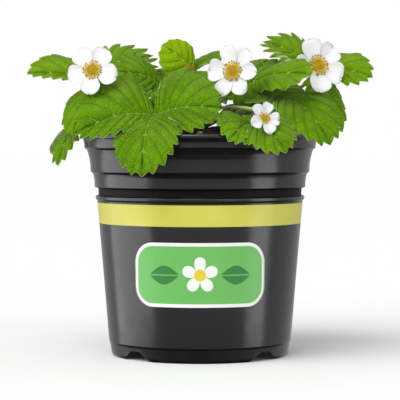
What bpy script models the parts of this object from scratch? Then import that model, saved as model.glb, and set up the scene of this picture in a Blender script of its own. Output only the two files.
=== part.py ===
"""Potted strawberry plant: a black nursery pot filled with soil, a crown, twelve three-part
leaves on their stalks, and four white flowers.

Everything is in metres. The origin is the middle of the pot's underside, +Z is up, and -Y
is the front, the side that the flowers face.
"""

import math
import random

import bmesh
import bpy
import numpy as np

# ---------------------------------------------------------------- pot
POT_SEGMENTS = 72
POT_OUTSIDE = (  # (radius, height) from the rim down to the foot
    (0.0560, 0.1065),
    (0.0567, 0.1063),
    (0.0570, 0.1058),
    (0.0570, 0.1046),
    (0.0567, 0.1042),
    (0.0569, 0.1038),
    (0.0566, 0.1012),
    (0.0559, 0.0994),
    (0.0546, 0.0988),
    (0.0527, 0.0884),
    (0.0524, 0.0878),
    (0.0517, 0.0875),
    (0.0510, 0.0814),
    (0.0507, 0.0811),
    (0.0497, 0.0808),
    (0.0496, 0.0772),
    (0.0505, 0.0769),
    (0.0505, 0.0756),
    (0.0503, 0.0752),
    (0.0498, 0.0748),
    (0.0497, 0.0730),
    (0.0473, 0.0460),
    (0.0441, 0.0070),
    (0.0437, 0.0064),
    (0.0429, 0.0014),
    (0.0425, 0.0004),
    (0.0419, 0.0000),
    (0.0407, 0.0000),
)
POT_UNDERSIDE = (  # inner face of the foot ring, then the floor from below
    (0.0414, 0.0050),
    (0.0410, 0.0054),
    (0.0000, 0.0054),
)
POT_INSIDE = (  # the floor from above, then the inner wall up to the rim
    (0.0000, 0.0066),
    (0.0424, 0.0066),
    (0.0429, 0.0074),
    (0.0483, 0.0730),
    (0.0484, 0.0815),
    (0.0502, 0.0876),
    (0.0511, 0.0884),
    (0.0534, 0.0988),
    (0.0549, 0.1000),
    (0.0555, 0.1056),
)
NOTCH_AZIMUTHS = (45.0, 135.0, 225.0, 315.0)
NOTCH_HEIGHT = 0.0045
NOTCH_HALF_WIDTH_LOW = 0.0092
NOTCH_HALF_WIDTH_HIGH = 0.0028
NOTCH_RADII = (0.0380, 0.0480)
DRAIN_HALF_WIDTH = 0.0045
DRAIN_RADII = (0.0345, 0.0390)
DRAIN_HEIGHTS = (0.004, 0.009)  # the cut reaches past the floor on both sides

# ---------------------------------------------------------------- soil and crown
SOIL_SEGMENTS = 48
SOIL_SIDE = (  # bottom to top, a little inside the pot's wall
    (0.0418, 0.0070),
    (0.0424, 0.0078),
    (0.0478, 0.0730),
    (0.0479, 0.0813),
    (0.0496, 0.0873),
    (0.0524, 0.0966),
)
SOIL_TOP = (  # (radius, height, greatest bump)
    (0.0515, 0.0972, 0.0),
    (0.0450, 0.0984, 0.0007),
    (0.0370, 0.1000, 0.0009),
    (0.0290, 0.1024, 0.0009),
    (0.0210, 0.1050, 0.0009),
    (0.0150, 0.1070, 0.0006),
    (0.0105, 0.1085, 0.0),
)
SOIL_SEED = 11
CROWN_CENTRE = (-0.003, 0.0)
CROWN_BASE = 0.1088
CROWN_RADIUS = 0.0065
CROWN_HEIGHT = 0.0062
CROWN_SEGMENTS = 20

# ---------------------------------------------------------------- leaves
BLADE_THICKNESS = 0.0006
HUB_RADIUS = 0.0016
SEAT_GAP = 0.0003
LEAFLET_ROWS = (0.08, 0.2, 0.36, 0.54, 0.72, 0.88, 0.985)
LEAFLET_COLUMNS = 4
STALK_RADIUS_LOW = 0.0011
STALK_RADIUS_HIGH = 0.0008
LEAF_STALK_PULLS = (0.45, 0.22)

# Each leaf: where its three leaflets join (the hub), which way that joint faces, its leaflets.
# A leaflet is (tip, which way its upper face looks, width, rise of its middle, fold).
# The first leaflet is the middle one.
LEAVES = {
    "front_left": {
        "hub": (-0.021, -0.041, 0.1155),
        "faces": (-0.05, -0.62, 0.78),
        "leaflets": (
            ((-0.026, -0.067, 0.088), (-0.20, -0.74, 0.55), 0.030, 0.0070, 0.12),
            ((-0.057, -0.046, 0.107), (-0.05, -0.82, 0.55), 0.033, 0.0065, 0.30),
            ((0.010, -0.047, 0.1185), (0.05, -0.82, 0.55), 0.033, 0.0040, 0.26),
        ),
    },
    "far_left": {
        "hub": (-0.049, -0.008, 0.1310),
        "faces": (-0.25, -0.45, 0.86),
        "leaflets": (
            ((-0.0590, -0.026, 0.106), (-0.62, -0.66, 0.42), 0.0215, 0.0040, 0.30),
            ((-0.082, -0.014, 0.1355), (-0.05, -0.66, 0.75), 0.026, 0.0030, 0.22),
            ((-0.0240, 0.002, 0.1445), (0.00, -0.70, 0.70), 0.028, 0.0035, 0.20),
        ),
    },
    "low_left": {
        "hub": (-0.058, 0.004, 0.1125),
        "faces": (-0.55, 0.00, 0.83),
        "leaflets": (
            ((-0.068, -0.011, 0.092), (-0.66, -0.60, 0.45), 0.0150, 0.0025, 0.25),
            ((-0.070, 0.026, 0.098), (-0.80, 0.30, 0.52), 0.024, 0.0040, 0.20),
            ((-0.037, -0.016, 0.1165), (0.00, -0.20, 0.98), 0.019, 0.0025, 0.15),
        ),
    },
    "centre_left": {
        "hub": (-0.018, -0.010, 0.129),
        "faces": (0.00, -0.50, 0.87),
        "leaflets": (
            ((-0.041, -0.018, 0.136), (0.00, -0.68, 0.73), 0.029, 0.0040, 0.20),
            ((-0.014, -0.031, 0.119), (0.05, -0.70, 0.70), 0.022, 0.0030, 0.20),
            ((-0.021, 0.012, 0.1385), (0.05, -0.70, 0.70), 0.021, 0.0020, 0.20),
        ),
    },
    "top_centre": {
        "hub": (-0.003, -0.004, 0.1365),
        "faces": (0.05, -0.40, 0.90),
        "leaflets": (
            ((0.0135, 0.010, 0.1475), (-0.36, -0.28, 0.89), 0.020, 0.0025, 0.20),
            ((-0.018, -0.006, 0.1495), (0.20, -0.92, 0.34), 0.021, 0.0025, 0.15),
            ((0.013, -0.019, 0.1230), (0.25, -0.52, 0.82), 0.021, 0.0030, 0.20),
        ),
    },
    "front_right": {
        "hub": (0.024, -0.050, 0.1110),
        "faces": (0.00, -0.60, 0.80),
        "leaflets": (
            ((0.0385, -0.067, 0.0985), (0.15, -0.78, 0.58), 0.0235, 0.0050, 0.15),
            ((0.013, -0.062, 0.1035), (-0.10, -0.84, 0.50), 0.022, 0.0035, 0.20),
            ((0.0385, -0.035, 0.1125), (0.05, -0.60, 0.80), 0.017, 0.0012, 0.15),
        ),
    },
    "right": {
        "hub": (0.034, -0.021, 0.1230),
        "faces": (0.60, -0.05, 0.80),
        "leaflets": (
            ((0.0600, -0.041, 0.102), (0.35, -0.70, 0.62), 0.0310, 0.0085, 0.20),
            ((0.0213, -0.0378, 0.1212), (-0.10, -0.50, 0.86), 0.0115, 0.0028, 0.10),
            ((0.046, 0.001, 0.1310), (0.10, -0.60, 0.80), 0.020, 0.0020, 0.15),
        ),
    },
    "centre_right": {
        "hub": (0.026, -0.013, 0.1315),
        "faces": (0.00, -0.45, 0.89),
        "leaflets": (
            ((0.0510, -0.0475, 0.1340), (-0.10, -0.80, 0.60), 0.0190, 0.0030, 0.25),
            ((0.034, 0.008, 0.1430), (-0.25, -0.70, 0.65), 0.021, 0.0025, 0.25),
            ((0.0125, -0.023, 0.1235), (0.10, -0.75, 0.66), 0.0185, 0.0020, 0.20),
        ),
    },
    "far_right": {
        "hub": (0.055, -0.001, 0.1365),
        "faces": (0.25, -0.50, 0.83),
        "leaflets": (
            ((0.0645, -0.011, 0.1060), (0.60, -0.72, 0.36), 0.0205, 0.0040, 0.20),
            ((0.082, -0.012, 0.134), (0.05, -0.66, 0.75), 0.027, 0.0035, 0.22),
            ((0.0315, 0.003, 0.1512), (-0.10, -0.60, 0.79), 0.024, 0.0040, 0.20),
        ),
    },
    "back_left": {
        "hub": (-0.030, 0.034, 0.121),
        "faces": (-0.20, 0.45, 0.87),
        "leaflets": (
            ((-0.040, 0.0685, 0.100), (-0.20, 0.70, 0.60), 0.030, 0.0060, 0.15),
            ((-0.062, 0.030, 0.117), (-0.30, 0.25, 0.90), 0.027, 0.0040, 0.20),
            ((-0.003, 0.050, 0.115), (0.10, 0.50, 0.86), 0.026, 0.0040, 0.20),
        ),
    },
    "back": {
        "hub": (0.001, 0.034, 0.126),
        "faces": (0.00, 0.35, 0.93),
        "leaflets": (
            ((0.004, 0.064, 0.121), (0.05, 0.40, 0.90), 0.027, 0.0040, 0.18),
            ((-0.024, 0.033, 0.1275), (-0.10, 0.10, 0.98), 0.022, 0.0030, 0.20),
            ((0.027, 0.030, 0.1275), (0.10, 0.15, 0.97), 0.022, 0.0030, 0.20),
        ),
    },
    "back_right": {
        "hub": (0.036, 0.034, 0.119),
        "faces": (0.25, 0.45, 0.85),
        "leaflets": (
            ((0.048, 0.063, 0.098), (0.30, 0.65, 0.65), 0.029, 0.0060, 0.15),
            ((0.067, 0.022, 0.109), (0.45, 0.15, 0.85), 0.026, 0.0045, 0.20),
            ((0.013, 0.056, 0.110), (-0.05, 0.55, 0.83), 0.024, 0.0040, 0.20),
        ),
    },
}

# ---------------------------------------------------------------- flowers
PETAL_THICKNESS = 0.0005
PETAL_ROWS = (0.0, 0.2, 0.45, 0.7, 0.9, 1.0)
PETAL_COLUMNS = 4
SEPAL_COUNT = 5
CENTRE_STEPS = 20
FLOWER_STALK_RADIUS = 0.0007

# Each flower: its middle, which way it looks, its radius, the way its stalk arrives, how far
# the stalk's two ends keep their directions (shares of its reach), and its petals as (angle
# round the middle from the flower's own right, lift of the outer end), in degrees.
FLOWERS = {
    "left": {
        "centre": (-0.0495, -0.040, 0.1357),
        "faces": (-0.10, -0.97, 0.22),
        "radius": 0.0116,
        "arrives": (-0.20, -0.60, 0.75),
        "pulls": (0.22, 0.32),
        "petals": ((54, 12), (125, 8), (197, 10), (264, 14), (342, 6)),
    },
    "middle": {
        "centre": (0.0158, -0.035, 0.1354),
        "faces": (-0.45, -0.87, 0.18),
        "radius": 0.0126,
        "arrives": (0.30, -0.25, 0.92),
        "pulls": (0.12, 0.48),
        "petals": ((44, 9), (98, 12), (173, 10), (243, 12), (298, 9), (351, 11)),
    },
    "right": {
        "centre": (0.0552, -0.0210, 0.1386),
        "faces": (0.42, -0.87, 0.20),
        "radius": 0.0132,
        "arrives": (0.25, -0.96, 0.08),
        "pulls": (0.35, 0.30),
        "petals": ((50, 10), (121, 14), (192, 8), (267, 14), (339, 8)),
    },
    "front": {
        "centre": (0.0285, -0.0634, 0.1134),
        "faces": (0.45, -0.87, 0.20),
        "radius": 0.0075,
        "arrives": (-0.17, -0.89, -0.44),
        "pulls": (0.11, 0.30),
        "petals": ((0, 10), (79, 14), (138, 10), (207, 8), (292, 12)),
    },
}

# ---------------------------------------------------------------- materials
BLACK_PLASTIC = (0.018, 0.018, 0.020)
SOIL_BROWN = (0.070, 0.045, 0.028)
CROWN_BROWN = (0.210, 0.120, 0.050)
LEAF_GREEN = (0.130, 0.330, 0.020)
STALK_GREEN = (0.380, 0.480, 0.120)
PETAL_WHITE = (0.870, 0.880, 0.860)
CENTRE_YELLOW = (0.820, 0.480, 0.030)


def vector(values):
    return np.array(values, float)


def unit(values):
    return vector(values) / np.linalg.norm(values)


def material(name, color, roughness):
    made = bpy.data.materials.new(name)
    made.use_nodes = True
    shader = made.node_tree.nodes["Principled BSDF"]
    shader.inputs["Base Color"].default_value = (*color, 1.0)
    shader.inputs["Roughness"].default_value = roughness
    shader.inputs["Metallic"].default_value = 0.0
    return made


def solid(name, points, faces, color, roughness, smooth=True):
    """One closed mesh as its own object, with its faces turned outwards."""
    mesh = bpy.data.meshes.new(name)
    mesh.from_pydata([tuple(map(float, p)) for p in points], [], faces)
    shape = bmesh.new()
    shape.from_mesh(mesh)
    bmesh.ops.recalc_face_normals(shape, faces=shape.faces)
    shape.to_mesh(mesh)
    shape.free()
    mesh.materials.append(material(name, color, roughness))
    for polygon in mesh.polygons:
        polygon.use_smooth = smooth
    made = bpy.data.objects.new(name, mesh)
    bpy.context.scene.collection.objects.link(made)
    return made


def turned(profile, segments):
    """Points and faces of a profile turned about Z. A point of radius zero is made once."""
    points, rings, faces = [], [], []
    for radius, height in profile:
        if radius == 0.0:
            rings.append([len(points)] * segments)
            points.append((0.0, 0.0, height))
            continue
        rings.append(list(range(len(points), len(points) + segments)))
        for step in range(segments):
            angle = 2 * math.pi * step / segments
            points.append((radius * math.cos(angle), radius * math.sin(angle), height))
    for low, high in zip(rings, rings[1:] + rings[:1]):
        for step in range(segments):
            after = (step + 1) % segments
            face = []
            for corner in (low[step], low[after], high[after], high[step]):
                if corner not in face:
                    face.append(corner)
            if len(face) > 2:
                faces.append(face)
    return points, faces


def turned_up(azimuth, corners, radii):
    """A prism along a radius: corners are (sideways, height), and it spans the two radii."""
    along = vector((math.cos(azimuth), math.sin(azimuth), 0.0))
    across = vector((-math.sin(azimuth), math.cos(azimuth), 0.0))
    up = vector((0.0, 0.0, 1.0))
    points = [
        radius * along + side * across + height * up
        for radius in radii
        for side, height in corners
    ]
    count = len(corners)
    faces = [list(range(count)), list(range(2 * count - 1, count - 1, -1))]
    for step in range(count):
        after = (step + 1) % count
        faces.append([step, after, after + count, step + count])
    return points, faces


def cut(target, name, points, faces):
    cutter = solid(name, points, faces, BLACK_PLASTIC, 0.5, smooth=False)
    cutter.hide_render = True
    cutter.display_type = "WIRE"
    modifier = target.modifiers.new(name, "BOOLEAN")
    modifier.operation = "DIFFERENCE"
    modifier.solver = "EXACT"
    modifier.object = cutter


def pot():
    """The pot: stepped wall, rolled rim, raised floor, and a foot ring with four notches."""
    points, faces = turned(POT_OUTSIDE + POT_UNDERSIDE + POT_INSIDE, POT_SEGMENTS)
    made = solid("nursery_pot", points, faces, BLACK_PLASTIC, 0.3)
    slope = (NOTCH_HALF_WIDTH_LOW - NOTCH_HALF_WIDTH_HIGH) / NOTCH_HEIGHT
    below = 0.002
    wide = NOTCH_HALF_WIDTH_LOW + slope * below
    notch = (
        (-wide, -below),
        (wide, -below),
        (NOTCH_HALF_WIDTH_HIGH, NOTCH_HEIGHT),
        (-NOTCH_HALF_WIDTH_HIGH, NOTCH_HEIGHT),
    )
    drain = (
        (-DRAIN_HALF_WIDTH, DRAIN_HEIGHTS[0]),
        (DRAIN_HALF_WIDTH, DRAIN_HEIGHTS[0]),
        (DRAIN_HALF_WIDTH, DRAIN_HEIGHTS[1]),
        (-DRAIN_HALF_WIDTH, DRAIN_HEIGHTS[1]),
    )
    for number, degrees in enumerate(NOTCH_AZIMUTHS, 1):
        azimuth = math.radians(degrees)
        cut(made, f"notch_cutter_{number}", *turned_up(azimuth, notch, NOTCH_RADII))
        cut(made, f"drain_cutter_{number}", *turned_up(azimuth, drain, DRAIN_RADII))


def soil():
    """The root ball: it follows the pot's inner wall and rises to a low mound."""
    chance = random.Random(SOIL_SEED)
    profile = ((0.0, SOIL_SIDE[0][1]),) + SOIL_SIDE
    profile += tuple((radius, height) for radius, height, _ in SOIL_TOP)
    profile += ((0.0, SOIL_TOP[-1][1]),)
    points, faces = turned(profile, SOIL_SEGMENTS)
    first = 1 + len(SOIL_SIDE) * SOIL_SEGMENTS
    for ring, (_, _, bump) in enumerate(SOIL_TOP):
        for step in range(SOIL_SEGMENTS):
            index = first + ring * SOIL_SEGMENTS + step
            x, y, z = points[index]
            points[index] = (x, y, z + bump * chance.uniform(-1.0, 1.0))
    solid("potting_soil", points, faces, SOIL_BROWN, 0.95)


def crown():
    """The short woody crown that every stalk grows from."""
    profile = [(0.0, 0.0), (CROWN_RADIUS * 0.96, 0.0)]
    for degrees in (8, 28, 48, 68):
        angle = math.radians(degrees)
        profile.append((CROWN_RADIUS * math.cos(angle), CROWN_HEIGHT * math.sin(angle)))
    profile.append((0.0, CROWN_HEIGHT))
    points, faces = turned(profile, CROWN_SEGMENTS)
    moved = [(x + CROWN_CENTRE[0], y + CROWN_CENTRE[1], z + CROWN_BASE) for x, y, z in points]
    solid("crown", moved, faces, CROWN_BROWN, 0.8)


def crown_start(azimuth, inner):
    """A point just off the crown's surface and the way out from there."""
    lift = math.radians(58 if inner else 22)
    round_the_axis = vector((math.cos(azimuth), math.sin(azimuth), 0.0))
    up = vector((0.0, 0.0, 1.0))
    base = vector((*CROWN_CENTRE, CROWN_BASE))
    at = base + CROWN_RADIUS * math.cos(lift) * round_the_axis + CROWN_HEIGHT * math.sin(lift) * up
    out = unit(math.cos(lift) * round_the_axis + math.sin(lift) * up)
    return at + out * (SEAT_GAP + 0.0002), out


def curve(start, start_way, end, end_way, start_pull, end_pull, steps):
    """Points of a cubic curve that leaves along start_way and arrives along end_way."""
    first = start + start_way * start_pull
    last = end - end_way * end_pull
    points = []
    for step in range(steps + 1):
        t = step / steps
        points.append(
            (1 - t) ** 3 * start
            + 3 * (1 - t) ** 2 * t * first
            + 3 * (1 - t) * t**2 * last
            + t**3 * end
        )
    return points


def tube(path, radius_low, radius_high, sides):
    """Points and faces of a round tube with flat ends along a path."""
    points, faces = [], []
    way = unit(path[1] - path[0])
    side = unit(np.cross(way, (0.3, 0.9, 0.1)))
    for index, at in enumerate(path):
        before = path[max(index - 1, 0)]
        after = path[min(index + 1, len(path) - 1)]
        way = unit(after - before)
        side = unit(side - way * side.dot(way))
        other = np.cross(way, side)
        share = index / (len(path) - 1)
        radius = radius_low + (radius_high - radius_low) * share
        for step in range(sides):
            angle = 2 * math.pi * step / sides
            points.append(at + radius * (math.cos(angle) * side + math.sin(angle) * other))
    for ring in range(len(path) - 1):
        for step in range(sides):
            after = (step + 1) % sides
            low, high = ring * sides, (ring + 1) * sides
            faces.append([low + step, low + after, high + after, high + step])
    faces.append(list(range(sides - 1, -1, -1)))
    faces.append(list(range(len(points) - sides, len(points))))
    return points, faces


def half_width(along, full_base):
    """Half the width of a leaflet at a share of its length, as a share of its greatest."""
    skew = 0.64 if full_base else 1.25
    widest = 0.5 ** (1 / skew)
    power = (0.80 if full_base else 0.95) if along < widest else 0.65
    return math.sin(math.pi * along**skew) ** power


def leaflet_point(base, leaflet, along, across, full_side):
    """A point of a leaflet's middle surface. across runs from -1 at its left to 1."""
    tip, faces, width, rise, fold = leaflet
    chord = vector(tip) - base
    ahead = unit(chord)
    up = unit(vector(faces) - ahead * vector(faces).dot(ahead))
    right = np.cross(ahead, up)
    basal = across * full_side > 0
    share = 0.5
    if full_side:
        share = 0.6 if basal else 0.4
    reach = width * share * half_width(along, basal)
    side = across * reach
    lift = rise * math.sin(math.pi * along**0.9)
    bend = fold * abs(side) - 0.28 * side * side / (width * 0.5)
    return base + chord * along + up * (lift + bend) + right * side


def hub_corners(hub, faces, middle_tip):
    """The three corners where neighbouring leaflets meet: front left, front right, back."""
    up = unit(faces)
    chord = vector(middle_tip) - hub
    ahead = unit(chord - up * chord.dot(up))
    right = np.cross(ahead, up)
    slant = HUB_RADIUS / math.sqrt(2)
    return (
        hub + (ahead - right) * slant,
        hub + (ahead + right) * slant,
        hub - ahead * HUB_RADIUS,
    ), right


def between(first, last, count):
    return [first + (last - first) * step / count for step in range(count + 1)]


def sheet_normals(grid):
    """The upward normal at each point of a grid of points."""
    normals = []
    for row in range(len(grid)):
        line = []
        for column in range(len(grid[0])):
            ahead = grid[min(row + 1, len(grid) - 1)][column] - grid[max(row - 1, 0)][column]
            left, right = max(column - 1, 0), min(column + 1, len(grid[0]) - 1)
            across = grid[row][right] - grid[row][left]
            line.append(unit(np.cross(across, ahead)))
        normals.append(line)
    return normals


def sheet_faces(upper, lower, close_base):
    """Faces of a thin sheet between two grids of point numbers."""
    faces = []
    rows, columns = len(upper), len(upper[0])
    for row in range(rows - 1):
        for column in range(columns - 1):
            for grid in (upper, lower):
                faces.append(
                    [
                        grid[row][column],
                        grid[row][column + 1],
                        grid[row + 1][column + 1],
                        grid[row + 1][column],
                    ]
                )
        for column in (0, columns - 1):
            faces.append(
                [
                    upper[row][column],
                    upper[row + 1][column],
                    lower[row + 1][column],
                    lower[row][column],
                ]
            )
    for row in (0, rows - 1) if close_base else (rows - 1,):
        for column in range(columns - 1):
            faces.append(
                [
                    upper[row][column],
                    upper[row][column + 1],
                    lower[row][column + 1],
                    lower[row][column],
                ]
            )
    return faces


def blade(name, leaf):
    """Three leaflets joined at their hub, as one thin solid."""
    hub = vector(leaf["hub"])
    up = unit(leaf["faces"])
    middle, first, second = leaf["leaflets"]
    (left, right, back), rightward = hub_corners(hub, up, middle[0])
    if (vector(first[0]) - hub).dot(rightward) < 0:
        first, second = second, first
    half = BLADE_THICKNESS / 2
    points, faces, rims = [], [], []
    plan = (
        (middle, left, right, 0),
        (first, right, back, 1),
        (second, back, left, -1),
    )
    corner_numbers = {}
    for leaflet, start, end, full_side in plan:
        grid = [between(start, end, LEAFLET_COLUMNS)]
        for along in LEAFLET_ROWS:
            line = []
            for column in range(LEAFLET_COLUMNS + 1):
                across = 2 * column / LEAFLET_COLUMNS - 1
                line.append(leaflet_point(hub, leaflet, along, across, full_side))
            grid.append(line)
        normals = sheet_normals(grid)
        normals[0] = [up] * (LEAFLET_COLUMNS + 1)
        upper, lower = [], []
        for row, line in enumerate(grid):
            upper.append([])
            lower.append([])
            for column, at in enumerate(line):
                key = tuple(np.round(at, 7)) if row == 0 else None
                if key in corner_numbers:
                    above, below = corner_numbers[key]
                else:
                    above, below = len(points), len(points) + 1
                    points.append(at + normals[row][column] * half)
                    points.append(at - normals[row][column] * half)
                    if key:
                        corner_numbers[key] = (above, below)
                upper[-1].append(above)
                lower[-1].append(below)
        faces += sheet_faces(upper, lower, close_base=False)
        rims.append((upper[0], lower[0]))
    for side, lift in ((0, half), (1, -half)):
        middle_point = len(points)
        points.append(hub + up * lift)
        for rim in rims:
            for column in range(LEAFLET_COLUMNS):
                faces.append([middle_point, rim[side][column + 1], rim[side][column]])
    solid(f"leaf_{name}_blade", points, faces, LEAF_GREEN, 0.45)


def leaf_stalk(name, leaf, start, out):
    up = unit(leaf["faces"])
    end = vector(leaf["hub"]) - up * (BLADE_THICKNESS / 2 + 1.6 * SEAT_GAP)
    reach = np.linalg.norm(end - start)
    low_pull, high_pull = (pull * reach for pull in LEAF_STALK_PULLS)
    path = curve(start, out, end, up, low_pull, high_pull, 10)
    points, faces = tube(path, STALK_RADIUS_LOW, STALK_RADIUS_HIGH, 8)
    solid(f"leaf_{name}_stalk", points, faces, STALK_GREEN, 0.5)


def flower_frame(flower):
    """The flower's own right, up and forward directions."""
    forward = unit(flower["faces"])
    right = unit(vector((1.0, 0.0, 0.0)) - forward * forward[0])
    return right, np.cross(forward, right), forward


def petal_point(flower, petal, room, along, across):
    """A point of a petal's middle surface: narrow at its base and almost round outside."""
    right, up, forward = flower_frame(flower)
    angle, lift = (math.radians(value) for value in petal)
    out = math.cos(angle) * right + math.sin(angle) * up
    aside = np.cross(forward, out)
    inner = flower["radius"] * 0.27
    reach = inner + (flower["radius"] - inner) * along
    width = math.sin(math.pi * (0.10 + 0.85 * along) ** 1.3) ** 0.6
    side = across * width * room / 2
    ahead = math.tan(lift) * (reach - inner) * along + 0.9 * side * side / room
    return vector(flower["centre"]) + out * reach + aside * side + forward * (ahead + 0.0007)


def petal_room(flower, petal):
    """The width a petal can have before it meets the nearer of its two neighbours."""
    apart = min(
        abs((other[0] - petal[0] + 180) % 360 - 180)
        for other in flower["petals"]
        if other != petal
    )
    return 2 * math.sin(math.radians(apart) / 2) * flower["radius"] * 0.56


def petals(name, flower):
    for number, petal in enumerate(flower["petals"], 1):
        room = petal_room(flower, petal)
        grid = []
        for along in PETAL_ROWS:
            line = []
            for column in range(PETAL_COLUMNS + 1):
                across = 1 - 2 * column / PETAL_COLUMNS
                line.append(petal_point(flower, petal, room, along, across))
            grid.append(line)
        normals = sheet_normals(grid)
        points, upper, lower = [], [], []
        for row, line in enumerate(grid):
            upper.append([])
            lower.append([])
            for column, at in enumerate(line):
                upper[-1].append(len(points))
                lower[-1].append(len(points) + 1)
                points.append(at + normals[row][column] * PETAL_THICKNESS / 2)
                points.append(at - normals[row][column] * PETAL_THICKNESS / 2)
        faces = sheet_faces(upper, lower, close_base=True)
        solid(f"flower_{name}_petal_{number}", points, faces, PETAL_WHITE, 0.5)


def flower_centre(name, flower):
    """The yellow dome of the flower on its green cup with five pointed sepals."""
    right, up, forward = flower_frame(flower)
    size = flower["radius"]
    rings = (  # (radius, height, share of the sepal's reach that is added)
        (0.00, 0.20, 0.0),
        (0.13, 0.175, 0.0),
        (0.21, 0.10, 0.0),
        (0.23, -0.005, 0.0),
        (0.30, -0.005, 1.0),
        (0.29, -0.055, 1.0),
        (0.15, -0.14, 0.0),
        (0.00, -0.15, 0.0),
    )
    points, numbers, faces = [], [], []
    for radius, height, spread in rings:
        if radius == 0.0:
            numbers.append([len(points)] * CENTRE_STEPS)
            points.append(vector(flower["centre"]) + forward * height * size)
            continue
        line = []
        for step in range(CENTRE_STEPS):
            angle = 2 * math.pi * (step + 0.5) / CENTRE_STEPS
            lobe = abs(math.sin(SEPAL_COUNT * angle / 2)) ** 3
            reach = (radius + spread * 0.42 * lobe) * size
            out = math.cos(angle) * right + math.sin(angle) * up
            line.append(len(points))
            back = spread * lobe * 0.10 * size
            points.append(
                vector(flower["centre"]) + out * reach + forward * (height * size - back)
            )
        numbers.append(line)
    for low, high in zip(numbers, numbers[1:]):
        for step in range(CENTRE_STEPS):
            after = (step + 1) % CENTRE_STEPS
            face = []
            for corner in (low[step], low[after], high[after], high[step]):
                if corner not in face:
                    face.append(corner)
            faces.append(face)
    solid(f"flower_{name}_centre", points, faces, CENTRE_YELLOW, 0.7)


def flower_stalk(name, flower, start, out):
    forward = unit(flower["faces"])
    end = vector(flower["centre"]) - forward * (0.15 * flower["radius"] + 3 * SEAT_GAP)
    reach = np.linalg.norm(end - start)
    arrives = unit(flower["arrives"])
    low_pull, high_pull = (pull * reach for pull in flower["pulls"])
    path = curve(start, out, end, arrives, low_pull, high_pull, 12)
    points, faces = tube(path, FLOWER_STALK_RADIUS * 1.3, FLOWER_STALK_RADIUS, 8)
    solid(f"flower_{name}_stalk", points, faces, STALK_GREEN, 0.5)


def stalk_starts():
    """Where each stalk leaves the crown. Leaves take the lower ring, flowers the upper one."""
    starts = {}
    for group, inner, place in ((LEAVES, False, "hub"), (FLOWERS, True, "centre")):
        headings = {}
        for name, entry in group.items():
            x, y, _ = entry[place]
            headings[name] = math.atan2(y - CROWN_CENTRE[1], x - CROWN_CENTRE[0])
        order = sorted(headings, key=headings.get)
        step = 2 * math.pi / len(order)
        offset = sum(headings[name] - step * place_in for place_in, name in enumerate(order))
        offset /= len(order)
        for place_in, name in enumerate(order):
            starts[(inner, name)] = crown_start(offset + step * place_in, inner)
    return starts


def build():
    for old in list(bpy.data.objects):
        bpy.data.objects.remove(old, do_unlink=True)
    pot()
    soil()
    crown()
    starts = stalk_starts()
    for name, leaf in LEAVES.items():
        blade(name, leaf)
        leaf_stalk(name, leaf, *starts[(False, name)])
    for name, flower in FLOWERS.items():
        petals(name, flower)
        flower_centre(name, flower)
        flower_stalk(name, flower, *starts[(True, name)])


build()
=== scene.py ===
"""Looks of a potted strawberry plant: black nursery pot, soil, crown, twelve three-part leaves
and four white flowers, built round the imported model.

Sizes are in metres unless a comment says otherwise. The origin is the middle of the pot's
underside, +Z is up, and -Y is the front, the side that the flowers face.
"""

import functools
import math
import random

import bmesh
import bpy
import numpy as np
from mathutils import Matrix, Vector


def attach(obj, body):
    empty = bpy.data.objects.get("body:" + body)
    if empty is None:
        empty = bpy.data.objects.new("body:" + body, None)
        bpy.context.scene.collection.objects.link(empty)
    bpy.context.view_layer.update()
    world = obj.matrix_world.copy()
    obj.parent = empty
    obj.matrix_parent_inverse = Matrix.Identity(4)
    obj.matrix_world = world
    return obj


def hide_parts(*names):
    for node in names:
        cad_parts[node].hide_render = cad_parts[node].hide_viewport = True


# ---------------------------------------------------------------- camera and light
CAMERA_AT = (0.0, -0.88, 0.1045)
CAMERA_AIM = (0.0, 0.0, 0.0747)
CAMERA_LENS = 163.3  # millimetres, like the width of the sensor
SENSOR_WIDTH = 36.0
WORLD_STRENGTH = 0.50
FLOOR_HALF = 8.0

# ---------------------------------------------------------------- pot
POT_SEGMENTS = 240
WALL = (  # (radius, height) of the plain lower wall
    (0.0497, 0.0737),
    (0.04883, 0.0638),
    (0.0473, 0.0460),
    (0.0441, 0.0070),
)
POT_OUTSIDE = (  # (radius, height) from the rim down to the foot
    (0.0560, 0.1065),
    (0.0567, 0.1063),
    (0.0570, 0.1058),
    (0.0570, 0.1048),
    (0.0567, 0.1043),
    (0.0562, 0.1029),
    (0.0560, 0.1016),
    (0.0560, 0.1004),
    (0.0557, 0.0997),
    (0.0548, 0.0993),
    (0.0541, 0.0972),
    (0.0535, 0.0948),
    (0.0531, 0.0920),
    (0.0529, 0.0888),
    (0.0526, 0.0882),
    (0.0519, 0.0878),
    (0.0514, 0.0861),
    (0.0511, 0.0840),
    (0.0510, 0.0814),
    (0.0507, 0.0810),
    (0.0492, 0.0807),
    (0.0491, 0.0772),
    (0.0505, 0.0769),
    (0.0505, 0.0756),
    (0.0503, 0.0752),
    (0.0498, 0.0748),
    *WALL,
    (0.0437, 0.0064),
    (0.0429, 0.0014),
    (0.0425, 0.0004),
    (0.0419, 0.0000),
    (0.0407, 0.0000),
    (0.0414, 0.0050),
    (0.0410, 0.0054),
)
POT_INSIDE = (
    (0.0424, 0.0066),
    (0.0429, 0.0074),
    (0.0483, 0.0730),
    (0.0484, 0.0815),
    (0.0502, 0.0876),
    (0.0511, 0.0884),
    (0.0534, 0.0988),
    (0.0549, 0.1000),
    (0.0555, 0.1056),
)
FLOOR_HEIGHTS = (0.0054, 0.0066)
CORNER_RADIUS = 0.0003
OUTER_FACE = 0.0486  # faces further out than this are on the outside of the upper wall
BAND = (0.0638, 0.0737)
RECESS = (0.0770, 0.0812)
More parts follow.
